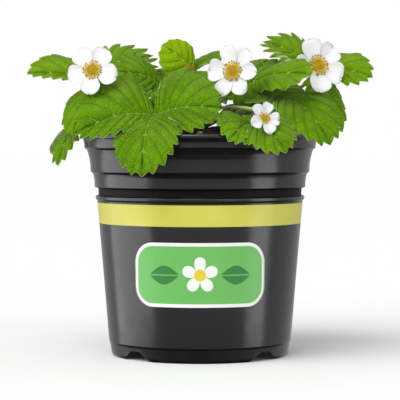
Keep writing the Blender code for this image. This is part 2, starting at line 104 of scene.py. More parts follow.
# A notch in the foot ring and a drain slot: the half widths and the heights of the low and
# the high side, then the two radii between which it is cut.
NOTCH = ((0.01205, 0.0028), (-0.002, 0.0045), (0.038, 0.048))
DRAIN = ((0.0045, 0.0045), (0.004, 0.009), (0.0345, 0.039))
NOTCH_AZIMUTHS = (45.0, 135.0, 225.0, 315.0)

LABEL_LOW = 0.0265
LABEL_HIGH = 0.0565
LABEL_HALF_WIDTH = 0.0325
LABEL_CORNER = 0.0095
LABEL_THICKNESS = 0.00012
LABEL_GAP = 0.00004  # from the wall to the middle of the label's thickness

# ---------------------------------------------------------------- soil and crown
SOIL_TOP = (  # (radius, height)
    (0.0520, 0.0969),
    (0.0450, 0.0984),
    (0.0370, 0.1000),
    (0.0290, 0.1024),
    (0.0210, 0.1050),
    (0.0150, 0.1070),
    (0.0105, 0.1085),
    (0.0000, 0.1087),
)
SOIL_UNDER = ((0.0495, 0.0868), (0.0478, 0.0805), (0.0476, 0.0730), (0.0430, 0.0180))
SOIL_RADIUS = 0.0519
SOIL_RINGS = 70
SOIL_SIDES = 150
SOIL_WAVES = 26
SOIL_ROUGHNESS = 0.075
SOIL_EDGE = 0.0525  # the lumps fade out towards this radius, over the distance SOIL_FADE
SOIL_FADE = 0.004
CRUMBS = 420
CRUMB_REACH = 0.0505
CRUMB_SIZES = (0.0008, 0.0030)
SMALLEST_CRUMB = 0.0005
PALE_CRUMB_EVERY = 9
CROWN_CENTRE = (-0.003, 0.0)
CROWN_BASE = 0.1088
CROWN_RADIUS = 0.0065
CROWN_HEIGHT = 0.0062
CROWN_RINGS = 22
CROWN_SIDES = 48
CROWN_SCALES = 9
SCALE_WIDTH = 0.0042
SCALE_HEIGHTS = (0.0050, 0.0075)
SCALE_THICKNESS = 0.00022

# ---------------------------------------------------------------- leaves
# Each leaf: where its three leaflets join, which way that joint faces, then its leaflets.
# A leaflet is (tip, which way its upper face looks, width, rise of its middle, fold).
# The first leaflet is the middle one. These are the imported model's own leaves. The looks add,
# by leaflet number, the depth of its teeth as a share of its width, its youth (0 grown, 1 just
# unfolded) and the shapes of its two halves.
LEAVES = {
    "front_left": {
        "halves": {
            0: ((0.50, 0.85), (0.50, 0.85)),
            1: ((0.70, 0.46), (0.32, 0.80)),
            2: ((0.72, 0.46), (0.43, 0.80)),
        },
        "hub": (-0.021, -0.041, 0.1155), "faces": (-0.05, -0.62, 0.78),
        "leaflets": (
            ((-0.026, -0.067, 0.088), (-0.20, -0.74, 0.55), 0.030, 0.0070, 0.12),
            ((-0.057, -0.046, 0.107), (-0.05, -0.82, 0.55), 0.033, 0.0065, 0.30),
            ((0.010, -0.047, 0.1185), (0.05, -0.82, 0.55), 0.033, 0.0040, 0.26),
        ),
    },
    "far_left": {
        "teeth": {2: 0.22},
        "youth": {0: 0.20, 1: 0.35, 2: 0.20},
        "halves": {1: ((0.66, 0.60), (0.18, 1.05))},
        "hub": (-0.049, -0.008, 0.1310), "faces": (-0.25, -0.45, 0.86),
        "leaflets": (
            ((-0.0590, -0.026, 0.106), (-0.62, -0.66, 0.42), 0.0215, 0.0040, 0.30),
            ((-0.082, -0.014, 0.1355), (-0.05, -0.66, 0.75), 0.026, 0.0030, 0.22),
            ((-0.0240, 0.002, 0.1445), (0.00, -0.70, 0.70), 0.028, 0.0035, 0.20),
        ),
    },
    "low_left": {
        "teeth": {0: 0.15},
        "hub": (-0.058, 0.004, 0.1125), "faces": (-0.55, 0.00, 0.83),
        "leaflets": (
            ((-0.068, -0.011, 0.092), (-0.66, -0.60, 0.45), 0.0150, 0.0025, 0.25),
            ((-0.070, 0.026, 0.098), (-0.80, 0.30, 0.52), 0.024, 0.0040, 0.20),
            ((-0.037, -0.016, 0.1165), (0.00, -0.20, 0.98), 0.019, 0.0025, 0.15),
        ),
    },
    "centre_left": {
        "hub": (-0.018, -0.010, 0.129), "faces": (0.00, -0.50, 0.87),
        "leaflets": (
            ((-0.041, -0.018, 0.136), (0.00, -0.68, 0.73), 0.029, 0.0040, 0.20),
            ((-0.014, -0.031, 0.119), (0.05, -0.70, 0.70), 0.022, 0.0030, 0.20),
            ((-0.021, 0.012, 0.1385), (0.05, -0.70, 0.70), 0.021, 0.0020, 0.20),
        ),
    },
    "top_centre": {
        "teeth": {1: 0.036},
        "youth": {0: 0.10, 1: 0.90},
        "halves": {1: ((0.55, 0.60), (0.42, 1.05))},
        "hub": (-0.003, -0.004, 0.1365), "faces": (0.05, -0.40, 0.90),
        "leaflets": (
            ((0.0135, 0.010, 0.1475), (-0.36, -0.28, 0.89), 0.020, 0.0025, 0.20),
            ((-0.018, -0.006, 0.1495), (0.20, -0.92, 0.34), 0.021, 0.0025, 0.15),
            ((0.013, -0.019, 0.1230), (0.25, -0.52, 0.82), 0.021, 0.0030, 0.20),
        ),
    },
    "front_right": {
        "hub": (0.024, -0.050, 0.1110), "faces": (0.00, -0.60, 0.80),
        "leaflets": (
            ((0.0385, -0.067, 0.0985), (0.15, -0.78, 0.58), 0.0235, 0.0050, 0.15),
            ((0.013, -0.062, 0.1035), (-0.10, -0.84, 0.50), 0.022, 0.0035, 0.20),
            ((0.0385, -0.035, 0.1125), (0.05, -0.60, 0.80), 0.017, 0.0012, 0.15),
        ),
    },
    "right": {
        "halves": {0: ((0.64, 0.62), (0.50, 1.00)), 1: ((0.50, 0.75), (0.56, 1.00))},
        "hub": (0.034, -0.021, 0.1230), "faces": (0.60, -0.05, 0.80),
        "leaflets": (
            ((0.0600, -0.041, 0.102), (0.35, -0.70, 0.62), 0.0310, 0.0085, 0.20),
            ((0.0213, -0.0378, 0.1212), (-0.10, -0.50, 0.86), 0.0115, 0.0028, 0.10),
            ((0.046, 0.001, 0.1310), (0.10, -0.60, 0.80), 0.020, 0.0020, 0.15),
        ),
    },
    "centre_right": {
        "youth": {0: 0.22},
        "halves": {0: ((0.54, 1.00), (0.60, 0.88)), 2: ((0.62, 0.60), (0.75, 0.90))},
        "hub": (0.026, -0.013, 0.1315), "faces": (0.00, -0.45, 0.89),
        "leaflets": (
            ((0.0510, -0.0475, 0.1340), (-0.10, -0.80, 0.60), 0.0190, 0.0030, 0.25),
            ((0.034, 0.008, 0.1430), (-0.25, -0.70, 0.65), 0.021, 0.0025, 0.25),
            ((0.0125, -0.023, 0.1235), (0.10, -0.75, 0.66), 0.0185, 0.0020, 0.20),
        ),
    },
    "far_right": {
        "teeth": {0: 0.095, 2: 0.22},
        "halves": {0: ((0.50, 0.95), (0.58, 0.70)), 2: ((0.62, 0.60), (0.34, 1.05))},
        "youth": {0: 0.35, 1: 0.35, 2: 0.20},
        "hub": (0.055, -0.001, 0.1365), "faces": (0.25, -0.50, 0.83),
        "leaflets": (
            ((0.0645, -0.011, 0.1060), (0.60, -0.72, 0.36), 0.0205, 0.0040, 0.20),
            ((0.082, -0.012, 0.134), (0.05, -0.66, 0.75), 0.027, 0.0035, 0.22),
            ((0.0315, 0.003, 0.1512), (-0.10, -0.60, 0.79), 0.024, 0.0040, 0.20),
        ),
    },
    "back_left": {
        "hub": (-0.030, 0.034, 0.121), "faces": (-0.20, 0.45, 0.87),
        "leaflets": (
            ((-0.040, 0.0685, 0.100), (-0.20, 0.70, 0.60), 0.030, 0.0060, 0.15),
            ((-0.062, 0.030, 0.117), (-0.30, 0.25, 0.90), 0.027, 0.0040, 0.20),
            ((-0.003, 0.050, 0.115), (0.10, 0.50, 0.86), 0.026, 0.0040, 0.20),
        ),
    },
    "back": {
        "hub": (0.001, 0.034, 0.126), "faces": (0.00, 0.35, 0.93),
        "leaflets": (
            ((0.004, 0.064, 0.121), (0.05, 0.40, 0.90), 0.027, 0.0040, 0.18),
            ((-0.024, 0.033, 0.1275), (-0.10, 0.10, 0.98), 0.022, 0.0030, 0.20),
            ((0.027, 0.030, 0.1275), (0.10, 0.15, 0.97), 0.022, 0.0030, 0.20),
        ),
    },
    "back_right": {
        "hub": (0.036, 0.034, 0.119), "faces": (0.25, 0.45, 0.85),
        "leaflets": (
            ((0.048, 0.063, 0.098), (0.30, 0.65, 0.65), 0.029, 0.0060, 0.15),
            ((0.067, 0.022, 0.109), (0.45, 0.15, 0.85), 0.026, 0.0045, 0.20),
            ((0.013, 0.056, 0.110), (-0.05, 0.55, 0.83), 0.024, 0.0040, 0.20),
        ),
    },
}

# Each flower: its middle, which way it looks, its radius, the way its stalk arrives, how far
# the stalk's two ends keep their directions, and its petals as (angle, lift) in degrees.
FLOWERS = {
    "left": {
        "centre": (-0.0495, -0.040, 0.1357), "faces": (-0.10, -0.97, 0.22),
        "radius": 0.0116,
        "arrives": (-0.20, -0.60, 0.75), "pulls": (0.22, 0.32),
        "petals": ((54, 12), (125, 8), (197, 10), (264, 14), (342, 6)),
    },
    "middle": {
        "centre": (0.0158, -0.035, 0.1354), "faces": (-0.45, -0.87, 0.18),
        "radius": 0.0126,
        "arrives": (0.30, -0.25, 0.92), "pulls": (0.12, 0.48),
        "petals": ((44, 9), (98, 12), (173, 10), (243, 12), (298, 9), (351, 11)),
    },
    "right": {
        "centre": (0.0552, -0.0210, 0.1386), "faces": (0.42, -0.87, 0.20),
        "radius": 0.0132,
        "arrives": (0.25, -0.96, 0.08), "pulls": (0.35, 0.30),
        "petals": ((50, 10), (121, 14), (192, 8), (267, 14), (339, 8)),
    },
    "front": {
        "centre": (0.0285, -0.0634, 0.1134), "faces": (0.45, -0.87, 0.20),
        "radius": 0.0075,
        "arrives": (-0.17, -0.89, -0.44), "pulls": (0.11, 0.30),
        "petals": ((0, 10), (79, 14), (138, 10), (207, 8), (292, 12)),
    },
}

# The two halves of a leaflet as (share of its width, skew): left and right on a middle leaflet.
# A side leaflet's first half is the one away from the middle leaflet.
MIDDLE_HALVES = ((0.50, 1.05), (0.50, 1.05))
SIDE_HALVES = ((0.62, 0.60), (0.42, 1.05))
BLADE_THICKNESS = 0.00034
TOOTH_ROWS = (0.0, 0.1, 0.24, 0.42, 0.6, 0.72, 0.83, 0.93)  # rows of points along one tooth
TOOTH_TIP = 0.6
TOOTH_SPACING = 0.0052
TOOTH = 0.072  # usual depth of the teeth as a share of the leaflet's width
RIB_RADII = (0.00052, 0.00012)
KNOB = (0.0017, 0.0021)  # length and width of the knob where the leaflets join
# The columns of points from the midrib, at 0, to the margin, at 1.
ACROSS = (0.0, 0.035, 0.09, 0.17, 0.27, 0.38, 0.5, 0.62, 0.73, 0.82, 0.89, 0.945, 1.0)

STALK_SIDES = 14
STALK_ROOT = 0.0004  # how far a stalk starts inside the crown
LEAF_STALK_RADII = (0.0011, 0.0008)
LEAF_STALK_LIFT = 22.0  # degrees up the crown's side
FLOWER_STALK_RADII = (0.0009, 0.0007)
FLOWER_STALK_LIFT = 58.0
STALK_SWELL = 0.0005
HAIR_SPACING = 0.0004
HAIR_LENGTH = 0.0011
HAIR_RADIUS = 0.00006

PETAL_THICKNESS = 0.00028
PETAL_START = 0.22  # where a petal starts, as a share of the flower's radius
PETAL_FILL = 0.74  # width of a petal as a share of the distance to its neighbour's tip
PETAL_BASE = 0.0007  # the petals' height before the flower's centre, and how they overlap
PETAL_LEVELS = (0.0, 0.00034, 0.00012, 0.00040, 0.00018, 0.00048)
PETAL_ROWS = 26
PETAL_COLUMNS = 19
SEPAL_THICKNESS = 0.0003
# The flower's middle in shares of its radius: (reach, height) of the dome's rings.
DOME = ((0.004, 0.20), (0.07, 0.19), (0.13, 0.155), (0.175, 0.09), (0.19, 0.02), (0.16, -0.08))
DOME_SIDES = 24
PISTILS = 70
GOLDEN_ANGLE = math.pi * (3 - math.sqrt(5))
STAMEN_FOOT = 0.150
# Rings of stamens: how many, the least and greatest reach, height and material of the anthers.
STAMEN_RINGS = (
    (14, 0.215, 0.250, 0.200, 4),
    (18, 0.270, 0.310, 0.180, 4),
    (20, 0.325, 0.390, 0.150, 2),
)


def vector(values):
    return np.array(values, float)


def unit(values):
    return vector(values) / np.linalg.norm(values)


def smooth(low, high, value):
    share = np.clip((value - low) / (high - low), 0.0, 1.0)
    return share * share * (3 - 2 * share)


# ---------------------------------------------------------------- material nodes
def connect(target, value):
    """Sets an input to a plain value, or links it to another node's output."""
    if isinstance(value, bpy.types.NodeSocket):
        target.id_data.links.new(value, target)
    elif target.type == "RGBA" and len(value) == 3:
        target.default_value = (*value, 1.0)
    else:
        target.default_value = value


def new_node(kind, inputs, tree=None, **settings):
    """A node with some of its inputs set or linked. It goes into the given tree, or else into
    the tree of the outputs that it is linked to."""
    linked = [value for value in inputs.values() if isinstance(value, bpy.types.NodeSocket)]
    node = (tree or linked[0].id_data).nodes.new("ShaderNode" + kind)
    for label, value in settings.items():
        setattr(node, label, value)
    for label, value in inputs.items():
        connect(node.inputs[label], value)
    return node


def maths(operation, *values):
    return new_node("Math", dict(enumerate(values)), operation=operation).outputs[0]


times = functools.partial(maths, "MULTIPLY")
plus = functools.partial(maths, "ADD")
minus = functools.partial(maths, "SUBTRACT")
absolute = functools.partial(maths, "ABSOLUTE")
larger = functools.partial(maths, "MAXIMUM")


def mix(share, first, second):
    return new_node("Mix", {0: share, 6: first, 7: second}, data_type="RGBA").outputs[2]


def fall(value, low, high, low_out=1.0, high_out=0.0):
    """A smooth step from low_out at low to high_out at high."""
    levels = dict(enumerate((value, low, high, low_out, high_out)))
    return new_node("MapRange", levels, interpolation_type="SMOOTHSTEP").outputs[0]


def climb(value, low, high, top=1.0):
    """A smooth step from 0 at low to top at high."""
    return fall(value, low, high, 0.0, top)


def hypotenuse(first, second):
    squares = (maths("POWER", side, 2.0) for side in (first, second))
    return maths("SQRT", plus(*squares))


def place(tree, scale=(1.0, 1.0, 1.0)):
    """The object's own coordinates in metres, stretched by scale."""
    at = new_node("TexCoord", {}, tree).outputs["Object"]
    return new_node("Mapping", {"Vector": at, "Scale": scale}).outputs[0]


def noise(at, scale, detail=3.0, rough=0.5):
    inputs = {"Vector": at, "Scale": scale, "Detail": detail, "Roughness": rough}
    return new_node("TexNoise", inputs).outputs[0]


def cell_edges(at, scale):
    """The distance to the nearest border in a net of small cells."""
    inputs = {"Vector": at, "Scale": scale}
    return new_node("TexVoronoi", inputs, feature="DISTANCE_TO_EDGE").outputs[0]


def attribute(tree, name):
    return new_node("Attribute", {}, tree, attribute_name=name).outputs["Fac"]


def new_material(name, **inputs):
    """A material with some inputs of its shader set, and its node tree."""
    made = bpy.data.materials.new(name)
    made.use_nodes = True
    shader = made.node_tree.nodes["Principled BSDF"]
    for label, value in inputs.items():
        connect(shader.inputs[label.replace("_", " ")], value)
    return made, made.node_tree


def finished(made, colour, roughness, height, depth):
    """The material with its colour, its roughness and a relief of the given depth."""
    inputs = made.node_tree.nodes["Principled BSDF"].inputs
    connect(inputs["Base Color"], colour)
    connect(inputs["Roughness"], roughness)
    relief = new_node("Bump", {"Strength": 1.0, "Distance": depth, "Height": height})
    connect(inputs["Normal"], relief.outputs[0])
    return made


def leaf_top_material():
    """Upper leaf surface: bright green with pale veins, painted shade in the grooves beside them, a
    painted grey sheen on faces that look up, a painted glow on upright faces and a soft waxy shine.
    """
    shine = {"Specular_IOR_Level": 0.12, "Specular_Tint": (0.75, 1.0, 0.35), "IOR": 1.3}
    made, tree = new_material("leaf_top", **shine)
    at = place(tree)
    names = ("vein", "across", "tone", "youth", "blush")
    vein, across, tone, youth, blush = (attribute(tree, name) for name in names)
    patches = climb(noise(at, 90.0), 0.35, 0.68)
    # Painted light: the greyer green is painted sheen for faces that look up, the brighter green is
    # painted glow for upright faces, as if light shone through; the per-point share mixes them.
    painted_sheen_green = mix(patches, (0.076, 0.160, 0.011), (0.134, 0.240, 0.026))
    painted_glow_green = mix(patches, (0.066, 0.190, 0.001), (0.114, 0.282, 0.001))
    green = mix(tone, painted_sheen_green, painted_glow_green)
    green = mix(youth, green, (0.235, 0.440, 0.001))
    net = cell_edges(at, 900.0)
    green = mix(fall(net, 0.02, 0.16, 0.42), green, (0.190, 0.330, 0.012))
    # Painted shade: a darker green along the grooves beside the veins, weaker on young leaflets.
    painted_groove_shade = times(fall(vein, 1.0, 5.0, 0.34), fall(youth, 0.3, 0.9, 1.0, 0.2))
    green = mix(painted_groove_shade, green, (0.036, 0.105, 0.001))
    line = times(fall(vein, 0.30, 1.15), fall(across, 0.0, 0.9, 0.56, 0.24))
    green = mix(line, green, mix(youth, (0.330, 0.500, 0.060), (0.640, 0.700, 0.080)))
    green = mix(times(blush, 0.75), green, (0.560, 0.270, 0.020))
    green = mix(climb(across, 0.962, 1.0, 0.40), green, (0.300, 0.420, 0.050))
    rough = fall(noise(at, 420.0, 2.0), 0.3, 0.7, 0.36, 0.52)
    height = times(noise(at, 1500.0, 2.0), 0.35)
    height = plus(height, climb(vein, 0.0, 1.6))
    height = plus(height, climb(net, 0.0, 0.35, 0.9))
    return finished(made, green, rough, height, 0.00026)


def leaf_under_material():
    """Under side of a leaf: paler and greyer, matt, with raised veins."""
    made, tree = new_material("leaf_under", Sheen_Weight=0.25, Sheen_Roughness=0.5)
    at = place(tree)
    vein = attribute(tree, "vein")
    patches = climb(noise(at, 120.0), 0.3, 0.7)
    green = mix(patches, (0.230, 0.370, 0.110), (0.300, 0.440, 0.160))
    green = mix(fall(cell_edges(at, 850.0), 0.02, 0.16, 0.35), green, (0.400, 0.530, 0.240))
    green = mix(fall(vein, 0.5, 1.5, 0.8), green, (0.500, 0.600, 0.280))
    height = plus(fall(vein, 0.0, 1.8), noise(at, 1200.0))
    return finished(made, green, 0.62, height, 0.00012)


def stem_material(name, pale, blush):
    """Pale green stem with a slight flush of red and fine lengthwise fibres."""
    made, tree = new_material(name, Sheen_Weight=0.35, Sheen_Roughness=0.4)
    fibres = noise(place(tree, (1.0, 1.0, 0.12)), 1800.0, 2.0)
    green = mix(climb(noise(place(tree), 70.0, 2.0), 0.42, 0.66, 0.6), pale, blush)
    green = mix(climb(fibres, 0.4, 0.7, 0.35), green, (0.620, 0.680, 0.330))
    return finished(made, green, 0.48, fibres, 0.00008)


def petal_material():
    """White petal, faintly streaked from its base, with painted shade greying its margins and end, and
    a silky surface.
    """
    sheen = {"Sheen_Weight": 0.2, "Sheen_Roughness": 0.35}
    depth = {"Subsurface_Weight": 0.12, "Subsurface_Radius": (0.8, 0.85, 0.8)}
    made, tree = new_material("petal", **sheen, **depth, Subsurface_Scale=0.0008)
    length, streak = (attribute(tree, name) for name in ("length", "streak"))
    wave = maths("SINE", times(streak, 46.0))
    wave = plus(wave, noise(place(tree), 500.0, 2.0))
    white = mix(climb(wave, 0.2, 1.5, 0.30), (0.870, 0.875, 0.880), (0.790, 0.800, 0.815))
    # Painted shade: the margins and the end of each petal turn greyer, as if shaded where petals
    # overlap.
    side = climb(absolute(streak), 0.60, 1.0, 0.50)
    end = climb(length, 0.82, 1.0, 0.40)
    white = mix(larger(side, end), white, (0.680, 0.695, 0.725))
    white = mix(fall(length, 0.0, 0.32, 0.75), white, (0.830, 0.840, 0.560))
    return finished(made, white, 0.55, wave, 0.00005)


def grained(name, first, second, scale, roughness, depth):
    """A matt surface whose colour and height wander between two tones."""
    made, tree = new_material(name)
    at = place(tree)
    grain = noise(at, scale, 4.0, 0.6)
    colour = mix(climb(grain, 0.35, 0.65), first, second)
    rough = fall(noise(at, scale * 2.3), 0.3, 0.7, roughness - 0.07, roughness + 0.07)
    return finished(made, colour, rough, grain, depth)


def plastic_material():
    """Glossy black moulded plastic with a faint ripple and slightly duller patches."""
    made, tree = new_material("black_plastic", Specular_IOR_Level=0.75)
    at = place(tree)
    ripple = noise(place(tree, (1.0, 1.0, 0.35)), 55.0, 2.0)
    black = mix(climb(ripple, 0.3, 0.7), (0.0030, 0.0030, 0.0036), (0.0048, 0.0048, 0.0056))
    rough = fall(noise(at, 130.0, 4.0, 0.6), 0.35, 0.72, 0.17, 0.27)
    height = plus(times(ripple, 8.0), noise(at, 2600.0, 2.0))
    return finished(made, black, rough, height, 0.00001)


def recess_material():
    """The same plastic where the mould left it matt, in the groove round the wall."""
    made, tree = new_material("matt_recess", Specular_IOR_Level=0.10)
    grain = noise(place(tree), 1800.0)
    black = mix(grain, (0.0030, 0.0030, 0.0036), (0.0060, 0.0060, 0.0068))
    return finished(made, black, fall(grain, 0.3, 0.7, 0.42, 0.58), grain, 0.00002)


def band_material():
    """Yellow printed band: an even ink with a slight satin shine."""
    made, tree = new_material("yellow_band")
    at = place(tree)
    cloud = noise(at, 45.0)
    yellow = mix(climb(cloud, 0.3, 0.7), (0.570, 0.555, 0.062), (0.615, 0.600, 0.085))
    rough = fall(cloud, 0.3, 0.7, 0.30, 0.38)
    return finished(made, yellow, rough, noise(at, 2200.0, 2.0), 0.00001)


def label_material():
    """Plain green panel with a pale border and, in its middle, one white flower and two leaves.
    Its sizes are in millimetres."""
    made, tree = new_material("label_print")
    x, y = (times(attribute(tree, name), 1000.0) for name in ("flat_x", "flat_y"))
    wide, tall = absolute(x), absolute(y)
    corner = LABEL_CORNER * 1000
    half_width, half_height = LABEL_HALF_WIDTH * 1000, (LABEL_HIGH - LABEL_LOW) * 500
    over_x = larger(minus(wide, half_width - corner), 0.0)
    over_y = larger(minus(tall, half_height - corner), 0.0)
    from_edge = minus(corner, hypotenuse(over_x, over_y))
    white, dark = (0.800, 0.820, 0.780), (0.035, 0.200, 0.040)
    cloud = noise(place(tree), 60.0)
    green = mix(cloud, (0.125, 0.430, 0.090), (0.150, 0.480, 0.110))
    colour = mix(climb(from_edge, 1.5, 1.7), white, green)
    # the leaves: two pointed ovals, one on each side of the flower
    along = absolute(minus(wide, 17.0))
    arch = minus(1.0, maths("POWER", maths("DIVIDE", along, 7.5), 1.7))
    inside = minus(times(arch, 4.6), tall)
    on_leaf = climb(inside, 0.0, 0.2)
    colour = mix(on_leaf, colour, dark)
    colour = mix(times(fall(tall, 0.20, 0.40), on_leaf), colour, green)
    # the flower: five round petals about a yellow middle
    lobe = absolute(maths("COSINE", times(maths("ARCTAN2", x, y), 2.5)))
    petal = times(maths("POWER", lobe, 0.38), 8.6)
    reach = hypotenuse(x, y)
    colour = mix(climb(minus(petal, reach), 0.0, 0.2), colour, white)
    colour = mix(fall(reach, 2.7, 2.9), colour, (0.720, 0.560, 0.030))
    rough = fall(cloud, 0.3, 0.7, 0.30, 0.38)
    return finished(made, colour, rough, noise(place(tree), 2000.0, 2.0), 0.00001)


# ---------------------------------------------------------------- meshes
def link(name, data):
    """A new object in the scene."""
    made = bpy.data.objects.new(name, data)
    bpy.context.scene.collection.objects.link(made)
    return made


def new_mesh(name, points, faces, materials=()):
    mesh = bpy.data.meshes.new(name)
    mesh.from_pydata(np.asarray(points, float).tolist(), [], faces)
    for kind in materials:
        mesh.materials.append(kind)
    return mesh


def settle(made, slot_name, *nodes):
    """Puts a piece on the body. With nodes, it stands for those nodes of the CAD."""
    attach(made, "root")
    if nodes:
        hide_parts(*nodes)
    return made


class Shell:
    """Points, faces and per-point values gathered from several parts of one piece."""

    def __init__(self):
        self.points = []
        self.faces = []
        self.slots = []
        self.values = {}
        self.count = 0

    def add(self, points, faces, slot=0, **values):
        """Adds a part. Its slot is one material number, or one for each face."""
        points = np.asarray(points, float).reshape(-1, 3)
        self.points.append(points)
        self.faces += [[corner + self.count for corner in face] for face in faces]
        self.slots += [slot] * len(faces) if isinstance(slot, int) else list(slot)
        for name in set(values) | set(self.values):
            held = self.values.setdefault(name, [np.zeros(self.count)])
            held.append(np.asarray(values.get(name, np.zeros(len(points))), float).reshape(-1))
        self.count += len(points)

    def make(self, name, materials, slot_name, *nodes):
        """The gathered mesh as one smooth piece that stands for the named CAD nodes."""
        mesh = new_mesh(name, np.concatenate(self.points), self.faces, materials)
        mesh.polygons.foreach_set("material_index", self.slots)
        mesh.polygons.foreach_set("use_smooth", [True] * len(mesh.polygons))
        for label, held in self.values.items():
            layer = mesh.attributes.new(label, "FLOAT", "POINT")
            layer.data.foreach_set("value", np.concatenate(held).astype(np.float32))
        mesh.update()
        return settle(link(name, mesh), slot_name, *nodes)


def circle(radius, height, sides):
    """A ring of points round Z. The radius is one number, or one for each point."""
    turns = 2 * math.pi * np.arange(sides) / sides
    return np.stack([radius * np.cos(turns), radius * np.sin(turns), np.full(sides, height)], 1)


def ring_faces(rings, sides, start=0, flip=False):
    """Four-sided faces between neighbouring rings of points."""
    faces = []
    for ring in range(rings - 1):
        low = start + ring * sides
        high = low + sides
        for step in range(sides):
            after = (step + 1) % sides
            face = [low + step, low + after, high + after, high + step]
            faces.append([face[0], *face[:0:-1]] if flip else face)
    return faces


def dome_faces(rings, sides):
    """Faces of a closed dome: one point at its top, then rings downwards, then a flat base."""
    last = 1 + (rings - 1) * sides
    tip = [[0, 1 + step, 1 + (step + 1) % sides] for step in range(sides)]
    base = list(range(last + sides - 1, last - 1, -1))
    return tip + ring_faces(rings, sides, 1, True) + [base]


def turned(profile, segments):
    """Points and faces of a profile turned about Z. A point of radius zero is made once."""
    points, rings, faces = [], [], []
    for radius, height in profile:
        ring = circle(radius, height, segments if radius else 1)
        rings.append([len(points) + step % len(ring) for step in range(segments)])
        points += list(ring)
    for low, high in zip(rings, rings[1:]):
        for step in range(segments):
            after = (step + 1) % segments
            face = list(dict.fromkeys((low[step], low[after], high[after], high[step])))
            if len(face) > 2:
                faces.append(face)
    return points, faces


def tube(path, radii, sides):
    """Points and faces of a round tube with closed ends along a path."""
    path = np.asarray(path, float)
    ways = np.gradient(path, axis=0)
    ways /= np.linalg.norm(ways, axis=1, keepdims=True)
    side = unit(np.cross(ways[0], (0.3, 0.9, 0.1)))
    points = []
    for at, way, radius in zip(path, ways, radii):
        side = unit(side - way * side.dot(way))
        points.append(at + circle(radius, 0.0, sides) @ np.stack([side, np.cross(way, side), way]))
    last = (len(path) - 1) * sides
    ends = [list(range(sides - 1, -1, -1)), list(range(last, last + sides))]
    return np.concatenate(points), ring_faces(len(path), sides) + ends


def bead(centre, axis, length, width, rings=5, sides=8):
    """Points and faces of a small rounded grain, longer along axis."""
    axis = unit(axis)
    side = unit(np.cross(axis, (0.31, 0.52, 0.79)))
    levels = math.pi * np.arange(1, rings) / rings
    round_part = [circle(math.sin(a) * width, -math.cos(a) * length, sides) for a in levels]
    points = np.concatenate([circle(0.0, -length, 1), *round_part, circle(0.0, length, 1)]) / 2
    points = vector(centre) + points @ np.stack([side, np.cross(axis, side), axis])
    last = len(points) - 1
    top = last - sides
    faces = ring_faces(rings - 1, sides, 1)
    for step in range(sides):
        after = (step + 1) % sides
        faces += [[0, 1 + after, 1 + step], [last, top + step, top + after]]
    return points, faces


def grid_faces(rows, columns, flip=False, start=0):
    faces = []
    for row in range(rows - 1):
        for column in range(columns - 1):
            corner = start + row * columns + column
            face = [corner, corner + 1, corner + columns + 1, corner + columns]
            faces.append(face[::-1] if flip else face)
    return faces


def grid_normals(grid):
    """Unit normals of a grid of points, on the side where columns x rows points."""
    normals = np.cross(np.gradient(grid, axis=1), np.gradient(grid, axis=0))
    return normals / np.linalg.norm(normals, axis=2, keepdims=True)


def sheet(grid, thickness, normals=None):
    """Points and faces of a closed thin sheet round a grid of points (rows, columns, 3).
    The last number returned is how many of the faces are on its upper side."""
    rows, columns = grid.shape[:2]
    normals = grid_normals(grid) if normals is None else normals
    upper = (grid + normals * thickness / 2).reshape(-1, 3)
    lower = (grid - normals * thickness / 2).reshape(-1, 3)
    count = rows * columns
    faces = grid_faces(rows, columns)
    on_top = len(faces)
    faces += grid_faces(rows, columns, True, count)
    edge = list(range(columns))
    edge += [row * columns + columns - 1 for row in range(1, rows)]
    edge += [(rows - 1) * columns + column for column in range(columns - 2, -1, -1)]
    edge += [row * columns for row in range(rows - 2, 0, -1)]
    for first, second in zip(edge, edge[1:] + edge[:1]):
        faces.append([second, first, first + count, second + count])
    return np.concatenate([upper, lower]), faces, on_top


def curve(start, start_way, end, end_way, start_pull, end_pull, steps):
    """Points of a cubic curve that leaves along start_way and arrives along end_way."""
    first = start + start_way * start_pull
    last = end - end_way * end_pull
    t = np.linspace(0.0, 1.0, steps + 1)[:, None]
    return (1 - t) ** 3 * start + 3 * (1 - t) ** 2 * t * first + 3 * (1 - t) * t**2 * last + t**3 * end


# ---------------------------------------------------------------- leaves
def half_width(along, full_base, skew):
    """Half the width of a leaflet at a share of its length, as a share of its greatest.
    A smaller skew makes it broader near its base."""
    widest = 0.5 ** (1 / skew)
    base = np.maximum(np.sin(math.pi * along**skew), 0.0) ** (0.80 if full_base else 0.95)
    past = np.clip((along - widest) / (1 - widest), 0.0, 1.0)
    return np.where(along < widest, base, (1 - past**2.3) ** 0.56)


def tooth_rows(width):
    """How many teeth a margin has, and where its rows of points are, counted in teeth."""
    teeth = 3 + round(width / TOOTH_SPACING)
    rows = np.concatenate([np.add(TOOTH_ROWS, tooth) for tooth in range(teeth)])
    return teeth, rows[rows < teeth - 1 + TOOTH_TIP + 0.01]


def tooth_height(rows):
    """Height of the saw edge at each row: 0 in a notch and 1 at a tooth's tip."""
    tooth = rows % 1.0
    rising = np.minimum(tooth / TOOTH_TIP, 1.0) ** 0.75
    falling = 1 - np.clip((tooth - TOOTH_TIP) / (1 - TOOTH_TIP), 0.0, 1.0) ** 1.5
    return np.where(tooth < TOOTH_TIP, rising, falling)


def smooth_margin(length, broad, skew, full_base, share):
    """A half's outline without teeth, as (sideways, ahead) at each row's share of its run.
    Also its directions there and how long it is."""
    fine = np.linspace(0.0, 1.0, 400)
    outline = np.stack([broad * half_width(fine, full_base, skew), fine * length], 1)
    steps = np.linalg.norm(np.diff(outline, axis=0), axis=1)
    run = np.concatenate([[0.0], np.cumsum(steps)])
    at = (0.02 + 0.98 * share) * run[-1]
    edge = np.stack([np.interp(at, run, outline[:, k]) for k in (0, 1)], 1)
    way = np.gradient(edge, axis=0)
    return edge, way / np.linalg.norm(way, axis=1, keepdims=True), run[-1]


